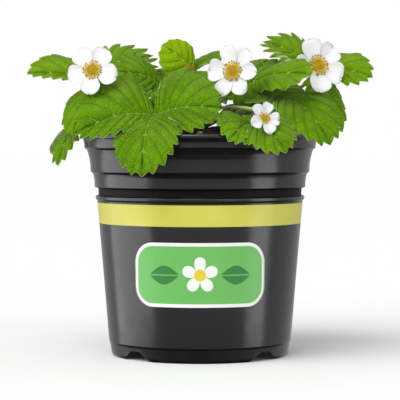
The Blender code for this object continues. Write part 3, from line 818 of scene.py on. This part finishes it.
def flat_half(width, length, half, full_base, tooth_depth):
    """One half of a leaflet laid flat, as columns from the midrib to the margin. Each has its
    points (sideways, ahead), their distances from a vein, how far the blade swells there
    between its veins, and the column's share of the way to the margin."""
    part, skew = half
    teeth, rows = tooth_rows(width)
    share = rows / rows[-1]
    edge, way, margin_run = smooth_margin(length, width * part, skew, full_base, share)
    outward = np.stack([way[:, 1], -way[:, 0]], 1)
    midrib = 0.02 + 0.97 * (0.6 * share**2 + 0.4 * share**4)
    inner = np.stack([np.zeros_like(share), midrib * length], 1)
    height = tooth_height(rows)
    depth = tooth_depth * smooth(0.06, 0.26, share) * (1 - 0.45 * smooth(0.88, 1.0, share))
    to_vein = np.abs((rows - TOOTH_TIP + 0.5) % 1.0 - 0.5)
    columns = []
    for t in ACROSS:
        flat = inner + (edge - inner) * np.array([t**0.90, t**1.16])
        grow = smooth(0.62, 1.0, t)
        flat += outward * (depth * (height - 0.62) * grow)[:, None]
        flat += way * (depth * 0.45 * height * grow)[:, None]
        flat[:, 0] = np.maximum(flat[:, 0], 0.00022 * t)
        spacing = ((1 - t) * 1.2 * length + t * margin_run) / teeth
        vein_half = 0.00020 * (1 - 0.40 * t)
        vein = np.minimum(to_vein * spacing * 0.85 / vein_half, flat[:, 0] / 0.00036)
        swell = np.sin(math.pi * to_vein) ** 0.8 * smooth(0.0, 0.2, t) * (1 - 0.45 * t)
        columns.append((flat, vein, swell, np.full_like(share, t)))
    return columns


def leaflet_grid(hub, leaflet, full_side, chance, tooth_depth, halves):
    """The middle surface of one leaflet: rows run from the hub to the tip along the veins,
    columns from its left margin over the midrib to its right margin."""
    tip, faces, width, rise, fold = leaflet
    chord = vector(tip) - hub
    length = np.linalg.norm(chord)
    ahead = chord / length
    up = unit(vector(faces) - ahead * vector(faces).dot(ahead))
    right = np.cross(ahead, up)
    strips = []
    for sign in (-1, 1):
        half = halves[0 if sign == (full_side or -1) else 1]
        columns = flat_half(width, length, half, sign * full_side > 0, tooth_depth)
        strips += [(sign, column) for column in (columns if sign > 0 else columns[:0:-1])]
    seed = chance.uniform(0.0, 6.28)
    pleat = 0.033 * width
    grid, veins, across = [], [], []
    for sign, (flat, vein, swell, t) in strips:
        side = sign * flat[:, 0]
        along = flat[:, 1] / length
        arch = rise * np.sin(math.pi * np.clip(along, 0.0, 1.0) ** 0.9)
        droop = 0.28 * side * side / (width * 0.5)
        wave = 0.0006 * np.sin(6.28 * 1.6 * along + seed + sign) * (side / (width * 0.5)) ** 2
        groove = 0.00025 * (1 - smooth(0.0, 0.12, t))
        lift = arch + fold * np.abs(side) - droop + pleat * (swell - 0.45) + wave - groove
        grid.append(hub + np.stack([side, flat[:, 1], lift], 1) @ np.stack([right, ahead, up]))
        veins.append(vein)
        across.append(t)
    return tuple(np.stack(entry, 1) for entry in (grid, veins, across))


def add_rib(shell, midrib, up):
    """The raised midrib under a leaflet. It stops short of the tip."""
    rib = midrib[: int(len(midrib) * 0.86) : 2] - up * 0.00030
    points, faces = tube(rib, np.linspace(*RIB_RADII, len(rib)), 8)
    shell.add(points, faces, 1, vein=np.full(len(points), 0.4))


def leaf(name, entry, chance, materials):
    """A leaf's three leaflets, the ribs under them and the knob that joins them."""
    hub = vector(entry["hub"])
    up = unit(entry["faces"])
    middle, first, second = entry["leaflets"]
    chord = vector(middle[0]) - hub
    rightward = np.cross(unit(chord - up * chord.dot(up)), up)
    if (vector(first[0]) - hub).dot(rightward) < 0:
        first, second = second, first
    shell = Shell()
    for leaflet, full_side in ((middle, 0), (first, 1), (second, -1)):
        number = entry["leaflets"].index(leaflet)
        depth = leaflet[2] * entry.get("teeth", {}).get(number, TOOTH)
        halves = SIDE_HALVES if number else MIDDLE_HALVES
        halves = entry.get("halves", {}).get(number, halves)
        grid, vein, across = leaflet_grid(hub, leaflet, full_side, chance, depth, halves)
        normals = grid_normals(grid)
        points, faces, on_top = sheet(grid, BLADE_THICKNESS, normals)
        # Painted light: the share of painted glow over painted sheen comes from how upright each face
        # is, plus a little random tone per leaflet.
        upright = 1.0 - smooth(0.35, 0.90, normals[..., 2].reshape(-1))
        youth = np.full(len(points), entry.get("youth", {}).get(number, 0.0))
        from_hub = np.linalg.norm(points - hub, axis=1)
        values = {
            "vein": np.tile(vein.reshape(-1), 2),
            "across": np.tile(across.reshape(-1), 2),
            "tone": np.tile(0.85 * upright + chance.uniform(0.0, 0.15), 2),
            "youth": youth,
            "blush": youth * (1 - smooth(0.0015, 0.0065, from_hub)),
        }
        shell.add(points, faces, [0] * on_top + [1] * (len(faces) - on_top), **values)
        add_rib(shell, grid[:, grid.shape[1] // 2], up)
    points, faces = bead(hub - up * 0.0002, up, *KNOB, 6, 10)
    shell.add(points, faces, 1, vein=np.full(len(points), 0.5))
    shell.make(f"blade_{name}", materials, "leaf", f"leaf_{name}_blade")


# ---------------------------------------------------------------- stalks
def crown_start(azimuth, lift):
    """A point just inside the crown's surface and the way out from there."""
    flat = vector((math.cos(azimuth), math.sin(azimuth), 0.0)) * math.cos(lift)
    rise = vector((0.0, 0.0, math.sin(lift)))
    out = unit(flat + rise)
    surface = vector((*CROWN_CENTRE, CROWN_BASE)) + CROWN_RADIUS * flat + CROWN_HEIGHT * rise
    return surface - out * STALK_ROOT, out


def stalk_starts(group, where, lift):
    """Where each stalk of a group leaves the crown: evenly round it, each near the way to its
    own leaf or flower."""
    headings = {}
    for name, entry in group.items():
        x, y, _ = entry[where]
        headings[name] = math.atan2(y - CROWN_CENTRE[1], x - CROWN_CENTRE[0])
    order = sorted(headings, key=headings.get)
    step = 2 * math.pi / len(order)
    offset = sum(headings[name] - step * number for number, name in enumerate(order))
    offset /= len(order)
    return {name: crown_start(offset + step * n, lift) for n, name in enumerate(order)}


def hairs(shell, path, radii, count, chance):
    """Fine standing hairs along a stem, each a slim cone."""
    ways = np.gradient(path, axis=0)
    for _ in range(count):
        index = chance.randrange(1, len(path) - 1)
        way = unit(ways[index])
        loose = unit([chance.gauss(0, 1) for _ in range(3)])
        out = unit(loose - way * loose.dot(way) * 0.85)
        root = path[index] + way * chance.uniform(-0.0008, 0.0008) + out * radii[index] * 0.8
        side = unit(np.cross(out, way))
        other = np.cross(out, side)
        ways_round = (math.cos(turn) * side + math.sin(turn) * other for turn in (0, 2.1, 4.2))
        points = [root + HAIR_RADIUS * way_round for way_round in ways_round]
        points.append(root + out * HAIR_LENGTH * chance.uniform(0.6, 1.0))
        shell.add(points, [[0, 1, 3], [1, 2, 3], [2, 0, 3], [2, 1, 0]], 1)


def stalk(name, path, radii, chance, materials, node):
    """A hairy round stem that swells a little where it leaves the crown."""
    share = np.linspace(0.0, 1.0, len(path))
    low, high = radii
    radii = low + (high - low) * share + STALK_SWELL * (1 - share) ** 6
    shell = Shell()
    shell.add(*tube(path, radii, STALK_SIDES))
    length = np.linalg.norm(np.diff(path, axis=0), axis=1).sum()
    hairs(shell, path, radii, int(length / HAIR_SPACING), chance)
    shell.make(name, materials, "stalk", node)


def leaf_stalk(name, entry, start, out, chance, materials):
    up = unit(entry["faces"])
    end = vector(entry["hub"]) - up * 0.0006
    reach = np.linalg.norm(end - start)
    path = curve(start, out, end, up, 0.45 * reach, 0.22 * reach, 44)
    node = f"leaf_{name}_stalk"
    stalk(f"leafstalk_{name}", path, LEAF_STALK_RADII, chance, materials, node)


def flower_stalk(name, entry, start, out, chance, materials):
    end = vector(entry["centre"]) - unit(entry["faces"]) * 0.15 * entry["radius"]
    low_pull, high_pull = np.linalg.norm(end - start) * vector(entry["pulls"])
    path = curve(start, out, end, unit(entry["arrives"]), low_pull, high_pull, 48)
    node = f"flower_{name}_stalk"
    stalk(f"flowerstalk_{name}", path, FLOWER_STALK_RADII, chance, materials, node)


# ---------------------------------------------------------------- flowers
def flower_axes(flower):
    """The flower's own right, up and forward directions, one in each row."""
    forward = unit(flower["faces"])
    right = unit(vector((1.0, 0.0, 0.0)) - forward * forward[0])
    return np.stack([right, np.cross(forward, right), forward])


def flower_point(flower, angle, reach, height):
    """A point by its angle, its reach from the axis and its height, in shares of the radius."""
    local = (reach * math.cos(angle), reach * math.sin(angle), height)
    return vector(flower["centre"]) + flower["radius"] * vector(local) @ flower_axes(flower)


def spoke(flower, angle):
    """Outwards at an angle on the flower, sideways there, and forwards."""
    right, up, forward = flower_axes(flower)
    out = math.cos(angle) * right + math.sin(angle) * up
    return out, np.cross(forward, out), forward


def petal_width(along):
    """Width of a petal as a share of its greatest: a narrow claw that opens to a round end."""
    base = 0.40 + 0.60 * smooth(-0.15, 0.60, along)
    end = np.sqrt(np.maximum(1 - (np.maximum(along - 0.58, 0.0) / 0.42) ** 2.3, 0.0))
    return np.where(along < 0.58, base, end)


def petal_room(flower, degrees):
    """Width of a petal, from the angle to its nearer neighbour."""
    others = [other for other, _ in flower["petals"] if other != degrees]
    apart = min(abs((other - degrees + 180) % 360 - 180) for other in others)
    return 2 * math.sin(math.radians(apart) / 2) * flower["radius"] * PETAL_FILL


def petals(name, flower, chance, materials):
    inner = flower["radius"] * PETAL_START
    rows = 1 - np.linspace(1.0, 0.0, PETAL_ROWS) ** 1.5
    rows[-1] = 0.997
    columns = np.linspace(1.0, -1.0, PETAL_COLUMNS)
    along, across = np.meshgrid(rows, columns, indexing="ij")
    tip = smooth(0.75, 1.0, along)
    for number, (degrees, lift) in enumerate(flower["petals"], 1):
        room = petal_room(flower, degrees)
        side = across * petal_width(along) * room / 2
        notch = 0.035 * np.exp(-((across / 0.22) ** 2)) * tip
        ripple = 0.018 * np.sin(across * 7 + chance.uniform(0, 6)) * smooth(0.5, 1.0, along)
        reach = inner + (flower["radius"] * 1.01 - inner) * (along - notch + ripple)
        cup = math.tan(math.radians(lift)) * (reach - inner) * along + 0.9 * side**2 / room
        wave = 0.00032 * np.sin(across * 4.2 + chance.uniform(0, 6)) * smooth(0.45, 1.0, along)
        curl = 0.0009 * smooth(0.72, 1.0, along) ** 2
        crease = 0.00022 * np.exp(-((across / 0.13) ** 2)) * smooth(0.0, 0.25, along)
        ahead = cup + wave - curl - crease + PETAL_BASE + PETAL_LEVELS[number - 1]
        axes = np.stack(spoke(flower, math.radians(degrees)))
        grid = vector(flower["centre"]) + np.stack([reach, side, ahead], 2) @ axes
        points, faces, _ = sheet(grid, PETAL_THICKNESS)
        shell = Shell()
        length, streak = (np.tile(value.reshape(-1), 2) for value in (along, across))
        shell.add(points, faces, length=length, streak=streak)
        shell.make(f"petal_{name}_{number}", materials, "petal", f"flower_{name}_petal_{number}")


def add_dome(shell, flower):
    """The domed middle, covered with pistils set in a sunflower's spiral."""
    rings = [circle(reach, height, DOME_SIDES) for reach, height in DOME]
    points = flower["radius"] * np.concatenate(rings) @ flower_axes(flower)
    last = (len(DOME) - 1) * DOME_SIDES
    ends = [list(range(DOME_SIDES)), list(range(last + DOME_SIDES - 1, last - 1, -1))]
    faces = ring_faces(len(DOME), DOME_SIDES, 0, True) + ends
    shell.add(points + vector(flower["centre"]), faces)
    size = flower["radius"]
    for number in range(PISTILS):
        share = (number + 0.5) / PISTILS
        height = 0.212 - 0.16 * share**1.5
        spot = flower_point(flower, number * GOLDEN_ANGLE, 0.185 * math.sqrt(share), height)
        axis = unit(spot - flower_point(flower, 0.0, 0.0, -0.15))
        shell.add(*bead(spot, axis, 0.060 * size, 0.036 * size, 4, 6))


def add_stamen(shell, flower, angle, reach, height, anther, chance):
    """A bent thread from the foot of the dome, with a two-part anther at its end."""
    size = flower["radius"]
    foot = flower_point(flower, angle, STAMEN_FOOT, 0.05)
    top = flower_point(flower, angle, reach, height)
    bend = flower_point(flower, angle, 0.5 * (STAMEN_FOOT + reach), 0.75 * height + 0.02)
    path = [foot, (foot + 2 * bend) / 3, (bend * 2 + top) / 3, top]
    shell.add(*tube(path, [size * thick for thick in (0.020, 0.018, 0.015, 0.012)], 6), 1)
    out, aside, forward = spoke(flower, angle)
    for half in (-1, 1):
        spot = top + aside * half * 0.013 * size + forward * 0.010 * size
        axis = out + forward * chance.uniform(-0.2, 0.3)
        shell.add(*bead(spot, axis, 0.060 * size, 0.030 * size, 5, 7), anther)


def add_sepal(shell, flower, angle):
    """One pointed green sepal behind the petals."""
    size = flower["radius"]
    along, across = np.meshgrid(np.linspace(0, 1, 9), np.linspace(1, -1, 5), indexing="ij")
    width = 0.30 * size * (1 - along**1.6) * (0.8 + 0.7 * along) + 0.0001
    side = across * width / 2
    reach = size * (0.10 + 0.50 * along)
    ahead = -0.05 * size - 0.10 * size * along**1.5 + 0.5 * side**2 / width
    grid = np.stack([reach, side, ahead], 2) @ np.stack(spoke(flower, angle))
    points, faces, _ = sheet(grid + vector(flower["centre"]), SEPAL_THICKNESS)
    shell.add(points, faces, 3)


def flower_centre(name, flower, chance, materials):
    """The domed middle with its pistils, the ring of stamens, and the green sepals behind."""
    shell = Shell()
    add_dome(shell, flower)
    for ring, (count, near, far, high, anther) in enumerate(STAMEN_RINGS):
        for number in range(count):
            angle = 2 * math.pi * (number + 0.5 * (ring % 2) + chance.uniform(-0.3, 0.3)) / count
            reach = chance.uniform(near, far)
            height = high + chance.uniform(-0.02, 0.02)
            add_stamen(shell, flower, angle, reach, height, anther, chance)
    angles = sorted(degrees for degrees, _ in flower["petals"])
    for low, high in zip(angles, angles[1:] + [angles[0] + 360]):
        add_sepal(shell, flower, math.radians((low + high) / 2 + chance.uniform(-4, 4)))
    cup = [flower_point(flower, 0.0, 0.0, height) for height in (-0.045, -0.09, -0.13, -0.16)]
    radii = [share * flower["radius"] for share in (0.27, 0.23, 0.15, 0.075)]
    shell.add(*tube(cup, radii, 16), 3)
    shell.make(f"centre_{name}", materials, "flower_centre", f"flower_{name}_centre")


# ---------------------------------------------------------------- pot, label, soil and crown
def rounded(profile, radius):
    """The profile with each corner replaced by a short curve."""
    made = [profile[0]]
    for before, here, after in zip(profile, profile[1:], profile[2:]):
        before, here, after = vector(before), vector(here), vector(after)
        to_before, to_after = before - here, after - here
        cut = min(radius, 0.4 * np.linalg.norm(to_before), 0.4 * np.linalg.norm(to_after))
        first = here + unit(to_before) * cut
        last = here + unit(to_after) * cut
        for t in (0.0, 0.33, 0.67, 1.0):
            made.append(tuple((1 - t) ** 2 * first + 2 * (1 - t) * t * here + t * t * last))
    made.append(profile[-1])
    return made


def prism(azimuth, half_widths, heights, radii):
    """A block along a radius, with one half width at its low side and one at its high side."""
    low, high = zip(half_widths, heights)
    corners = ((-low[0], low[1]), low, high, (-high[0], high[1]))
    count = len(corners)
    sine, cosine = math.sin(azimuth), math.cos(azimuth)
    points = []
    for radius in radii:
        for side, height in corners:
            points.append((radius * cosine - side * sine, radius * sine + side * cosine, height))
    ends = [list(range(count)), list(range(2 * count - 1, count - 1, -1))]
    return points, ends + ring_faces(2, count)


def outward_object(name, points, faces):
    """An object whose faces all look outwards."""
    mesh = new_mesh(name, points, faces)
    shape = bmesh.new()
    shape.from_mesh(mesh)
    bmesh.ops.recalc_face_normals(shape, faces=shape.faces)
    shape.to_mesh(mesh)
    shape.free()
    return link(name, mesh)


def cut(made, cutter):
    """The object's mesh with the cutter taken away. The cutter is removed."""
    modifier = made.modifiers.new("cuts", "BOOLEAN")
    modifier.operation = "DIFFERENCE"
    modifier.solver = "EXACT"
    modifier.use_self = True
    modifier.object = cutter
    bpy.context.view_layer.update()
    evaluated = made.evaluated_get(bpy.context.evaluated_depsgraph_get())
    mesh = bpy.data.meshes.new_from_object(evaluated)
    made.modifiers.clear()
    made.data = mesh
    bpy.data.objects.remove(cutter)
    return mesh


def pot(materials):
    """The pot, with the foot ring's notches and the drain slots cut into a finely turned wall."""
    outside = rounded(POT_OUTSIDE, CORNER_RADIUS)
    inside = rounded(POT_INSIDE, CORNER_RADIUS)
    floor = [(0.0, height) for height in FLOOR_HEIGHTS]
    profile = outside + floor + inside + [outside[0]]
    made = outward_object("pot", *turned(profile, POT_SEGMENTS))
    points, faces = [], []
    for degrees in NOTCH_AZIMUTHS:
        for opening in (NOTCH, DRAIN):
            more, more_faces = prism(math.radians(degrees), *opening)
            faces += [[corner + len(points) for corner in face] for face in more_faces]
            points += more
    mesh = cut(made, outward_object("pot_cutter", points, faces))
    for kind in materials:
        mesh.materials.append(kind)
    for polygon in mesh.polygons:
        polygon.use_smooth = True
        x, y, height = polygon.center
        outer = math.hypot(x, y) > OUTER_FACE
        on_band = outer and BAND[0] < height < BAND[1]
        in_recess = outer and RECESS[0] < height < RECESS[1]
        polygon.material_index = 1 if on_band else 2 if in_recess else 0
    mesh.set_sharp_from_angle(angle=math.radians(50))
    return settle(made, "pot_plastic", "nursery_pot")


def label(material):
    """A thin rounded sticker wrapped on the wall, with its own flat coordinates in metres."""
    rows, columns = 40, 72
    middle, tall = (LABEL_HIGH + LABEL_LOW) / 2, (LABEL_HIGH - LABEL_LOW) / 2
    above = -tall * np.cos(np.linspace(0.0, math.pi, rows))[:, None]
    into = np.maximum(np.abs(above) - (tall - LABEL_CORNER), 0.0)
    half = LABEL_HALF_WIDTH - LABEL_CORNER + np.sqrt(np.maximum(LABEL_CORNER**2 - into**2, 0.0))
    side = half * np.linspace(-1.0, 1.0, columns)
    above = above + np.zeros(columns)
    wall_radii, wall_heights = zip(*WALL[::-1])
    radius = np.interp(middle + above, wall_heights, wall_radii) + LABEL_GAP
    out = np.stack([np.sin(side / radius), -np.cos(side / radius), np.zeros_like(side)], 2)
    grid = out * radius[..., None] + (middle + above)[..., None] * vector((0.0, 0.0, 1.0))
    points, faces, _ = sheet(grid, LABEL_THICKNESS, out)
    shell = Shell()
    flat_x, flat_y = (np.tile(value.reshape(-1), 2) for value in (side, above))
    shell.add(points, faces, flat_x=flat_x, flat_y=flat_y)
    return shell.make("pot_label", [material], "pot_plastic")


def soil_height(radius):
    radii, heights = zip(*SOIL_TOP[::-1])
    return np.interp(radius, radii, heights)


def soil(chance, materials):
    """Lumpy soil that rises to a mound, with loose crumbs and a few pale grains on it."""
    waves = []
    for _ in range(SOIL_WAVES):
        waves.append((chance.uniform(150, 900), chance.uniform(0, 6.28), chance.uniform(0, 6.28)))
    points = [circle(0.0, soil_height(0.0), 1)]
    for ring in range(1, SOIL_RINGS + 1):
        radius = SOIL_RADIUS * ring / SOIL_RINGS
        level = circle(radius, soil_height(radius), SOIL_SIDES)
        rough = np.zeros(SOIL_SIDES)
        for scale, turn, shift in waves:
            run = level[:, 0] * math.cos(turn) + level[:, 1] * math.sin(turn)
            rough += SOIL_ROUGHNESS * np.sin(scale * run + shift) / scale
        level[:, 2] += rough * min(1.0, (SOIL_EDGE - radius) / SOIL_FADE)
        points.append(level)
    points += [circle(radius, height, SOIL_SIDES) for radius, height in SOIL_UNDER]
    shell = Shell()
    faces = dome_faces(SOIL_RINGS + len(SOIL_UNDER), SOIL_SIDES)
    shell.add(np.concatenate(points), faces)
    for number in range(CRUMBS):
        radius = CRUMB_REACH * math.sqrt(chance.random())
        angle = chance.uniform(0, 2 * math.pi)
        size = chance.uniform(*CRUMB_SIZES) * (0.6 + 0.4 * chance.random())
        size = min(size, 2 * (SOIL_RADIUS - 0.0001 - radius))
        if size < SMALLEST_CRUMB:
            continue
        axis = [chance.gauss(0, 1) for _ in range(3)]
        height = soil_height(radius) + size * 0.15
        centre = (radius * math.cos(angle), radius * math.sin(angle), height)
        points, faces = bead(centre, axis, size * 1.3, size, 5, 7)
        points = [p + [chance.uniform(-0.13, 0.13) * size for _ in range(3)] for p in points]
        shell.add(points, faces, 1 if number % PALE_CRUMB_EVERY == 0 else 0)
    shell.make("soil", materials, "soil", "potting_soil")


def crown(chance, materials):
    """The woody crown: a fibrous dome wrapped in a few dry papery scales."""
    shell = Shell()
    base = vector((*CROWN_CENTRE, CROWN_BASE))
    turns = 2 * math.pi * np.arange(CROWN_SIDES) / CROWN_SIDES
    points = [circle(0.0, CROWN_HEIGHT, 1)]
    for ring in range(1, CROWN_RINGS + 1):
        lift = math.pi / 2 * (1 - ring / CROWN_RINGS)
        swell = 1 + 0.035 * np.sin(9 * turns + 5 * lift) + 0.02 * np.sin(23 * turns)
        height = CROWN_HEIGHT * math.sin(lift) - 0.0012 * (ring == CROWN_RINGS)
        points.append(circle(CROWN_RADIUS * math.cos(lift) * swell, height, CROWN_SIDES))
    shell.add(base + np.concatenate(points), dome_faces(CROWN_RINGS, CROWN_SIDES))
    along, across = np.meshgrid(np.linspace(0, 1, 9), np.linspace(1, -1, 6), indexing="ij")
    side = across * (SCALE_WIDTH * (1 - along**1.7) + 0.0002) / 2
    reach = CROWN_RADIUS * (1.02 + 0.10 * np.sin(math.pi * along)) - 0.5 * side**2 / 0.006
    for number in range(CROWN_SCALES):
        turn = 2 * math.pi * (number + chance.uniform(-0.2, 0.2)) / CROWN_SCALES
        sine, cosine = math.sin(turn), math.cos(turn)
        height = along * chance.uniform(*SCALE_HEIGHTS)
        axes = np.array([(cosine, sine, 0.0), (-sine, cosine, 0.0), (0.0, 0.0, 1.0)])
        grid = base + np.stack([reach, side, height], 2) @ axes
        points, faces, _ = sheet(grid, SCALE_THICKNESS)
        shell.add(points, faces, 1)
    shell.make("crown_stub", materials, "crown", "crown")


# ---------------------------------------------------------------- studio
def aimed(made, at, aim):
    """The camera or light, put at a place and turned to another."""
    made.location = at
    made.rotation_euler = (Vector(aim) - Vector(at)).to_track_quat("-Z", "Y").to_euler()
    return made


def pale_world():
    """An even pale sky that darkens below the horizon, and is white to the camera."""
    world = bpy.data.worlds.new("studio")
    world.use_nodes = True
    bpy.context.scene.world = world
    tree = world.node_tree
    way = new_node("TexCoord", {}, tree).outputs["Generated"]
    level = new_node("SeparateXYZ", {0: way}).outputs["Z"]
    strength = times(fall(level, -0.50, -0.28, 0.10, 1.0), WORLD_STRENGTH)
    light = tree.nodes["Background"]
    connect(light.inputs["Color"], (1.0, 1.0, 1.0))
    connect(light.inputs["Strength"], strength)
    seen = new_node("Background", {"Color": (1.0, 1.0, 1.0)}, tree)
    by_camera = new_node("LightPath", {}, tree).outputs["Is Camera Ray"]
    blend = new_node("MixShader", {0: by_camera, 1: light.outputs[0], 2: seen.outputs[0]})
    connect(tree.nodes["World Output"].inputs["Surface"], blend.outputs[0])


def add_floor():
    painted, tree = new_material("floor_paint", Roughness=0.9)
    grain = noise(place(tree), 40.0, 2.0)
    pale = mix(grain, (0.93, 0.93, 0.93), (0.95, 0.95, 0.95))
    connect(tree.nodes["Principled BSDF"].inputs["Base Color"], pale)
    signs = ((-1, -1), (1, -1), (1, 1), (-1, 1))
    corners = [(x * FLOOR_HALF, y * FLOOR_HALF, 0.0) for x, y in signs]
    made = link("floor", new_mesh("floor", corners, [[0, 1, 2, 3]], [painted]))
    made.visible_glossy = False


def add_light(name, data, at, aim):
    made = aimed(link(name, data), at, aim)
    made.visible_camera = False
    return made


def sun(name, towards, strength, softness):
    """A soft distant light that shines from one direction onto the object."""
    data = bpy.data.lights.new(name, "SUN")
    data.energy = strength
    data.angle = math.radians(softness)
    add_light(name, data, towards, (0.0, 0.0, 0.0))


def strip(name, start, end, radiance, lit):
    """An upright panel between two azimuths, turned left from the front. It shines only on the
    collection lit, where it gives the glossy wall one of its tall soft highlights."""
    distance, low, high = 0.45, -0.13, 0.45
    height = high - low
    azimuth = math.radians((start + end) / 2)
    width = 2 * distance * math.tan(math.radians(end - start) / 2)
    data = bpy.data.lights.new(name, "AREA")
    data.shape = "RECTANGLE"
    data.size, data.size_y = width, height
    data.energy = radiance * math.pi * width * height
    level = (low + high) / 2
    at = (-distance * math.sin(azimuth), -distance * math.cos(azimuth), level)
    made = add_light(name, data, at, (0.0, 0.0, level))
    made.visible_diffuse = False
    made.light_linking.receiver_collection = lit
    made.light_linking.blocker_collection = lit


def studio(pot_group):
    scene = bpy.context.scene
    scene.view_settings.view_transform = "Standard"
    camera = aimed(link("camera", bpy.data.cameras.new("camera")), CAMERA_AT, CAMERA_AIM)
    camera.data.lens = CAMERA_LENS
    camera.data.sensor_width = SENSOR_WIDTH
    scene.camera = camera
    pale_world()
    sun("key", (-0.50, -0.62, 0.80), 2.35, 60)
    sun("fill", (0.55, -0.80, 0.45), 0.45, 50)
    strip("left_strip", 56, 118, 1.45, pot_group)
    strip("right_strip", -82, -56, 1.65, pot_group)
    add_floor()


# ---------------------------------------------------------------- the plant
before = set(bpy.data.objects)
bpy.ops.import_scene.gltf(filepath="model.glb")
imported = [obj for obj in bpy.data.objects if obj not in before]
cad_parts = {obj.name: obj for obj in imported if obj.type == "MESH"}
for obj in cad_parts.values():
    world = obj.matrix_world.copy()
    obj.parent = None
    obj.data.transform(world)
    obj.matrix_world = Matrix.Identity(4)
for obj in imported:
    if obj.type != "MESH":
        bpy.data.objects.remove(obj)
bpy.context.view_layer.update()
pot_group = bpy.data.collections.new("pot_group")
studio(pot_group)

pot_group.objects.link(pot([plastic_material(), band_material(), recess_material()]))
pot_group.objects.link(label(label_material()))
soil_kinds = [
    grained("soil_peat", (0.030, 0.018, 0.010), (0.105, 0.065, 0.038), 900.0, 0.92, 0.0004),
    grained("soil_perlite", (0.560, 0.540, 0.490), (0.740, 0.720, 0.680), 700.0, 0.9, 0.0002),
]
soil(random.Random(5), soil_kinds)
crown_kinds = [
    grained("crown_bark", (0.120, 0.060, 0.025), (0.280, 0.160, 0.070), 1100.0, 0.85, 0.0003),
    grained("crown_scale", (0.330, 0.190, 0.080), (0.520, 0.350, 0.180), 1500.0, 0.7, 0.0001),
]
crown(random.Random(6), crown_kinds)

leaf_kinds = [leaf_top_material(), leaf_under_material()]
green_stem = stem_material("leaf_stem", (0.300, 0.430, 0.070), (0.400, 0.330, 0.110))
pale_stem = stem_material("flower_stem", (0.360, 0.500, 0.100), (0.430, 0.410, 0.150))
hair = grained("stem_hair", (0.740, 0.780, 0.620), (0.820, 0.850, 0.720), 800.0, 0.5, 0.00002)
starts = stalk_starts(LEAVES, "hub", math.radians(LEAF_STALK_LIFT))
for number, (name, entry) in enumerate(LEAVES.items()):
    chance = random.Random(100 + number)
    leaf(name, entry, chance, leaf_kinds)
    leaf_stalk(name, entry, *starts[name], chance, [green_stem, hair])

petal_kinds = [petal_material()]
centre_kinds = [
    grained("pistils", (0.500, 0.300, 0.008), (0.660, 0.460, 0.016), 1600.0, 0.6, 0.0001),
    grained("filaments", (0.700, 0.500, 0.020), (0.790, 0.620, 0.060), 1500.0, 0.55, 0.00005),
    grained("anthers", (0.150, 0.050, 0.010), (0.330, 0.130, 0.015), 2400.0, 0.75, 0.0001),
    grained("sepals", (0.110, 0.260, 0.030), (0.190, 0.380, 0.060), 700.0, 0.55, 0.0001),
    grained("young_anthers", (0.620, 0.430, 0.008), (0.740, 0.580, 0.015), 2400.0, 0.7, 0.0001),
]
starts = stalk_starts(FLOWERS, "centre", math.radians(FLOWER_STALK_LIFT))
for number, (name, entry) in enumerate(FLOWERS.items()):
    chance = random.Random(200 + number)
    petals(name, entry, chance, petal_kinds)
    flower_centre(name, entry, chance, centre_kinds)
    flower_stalk(name, entry, *starts[name], chance, [pale_stem, hair])
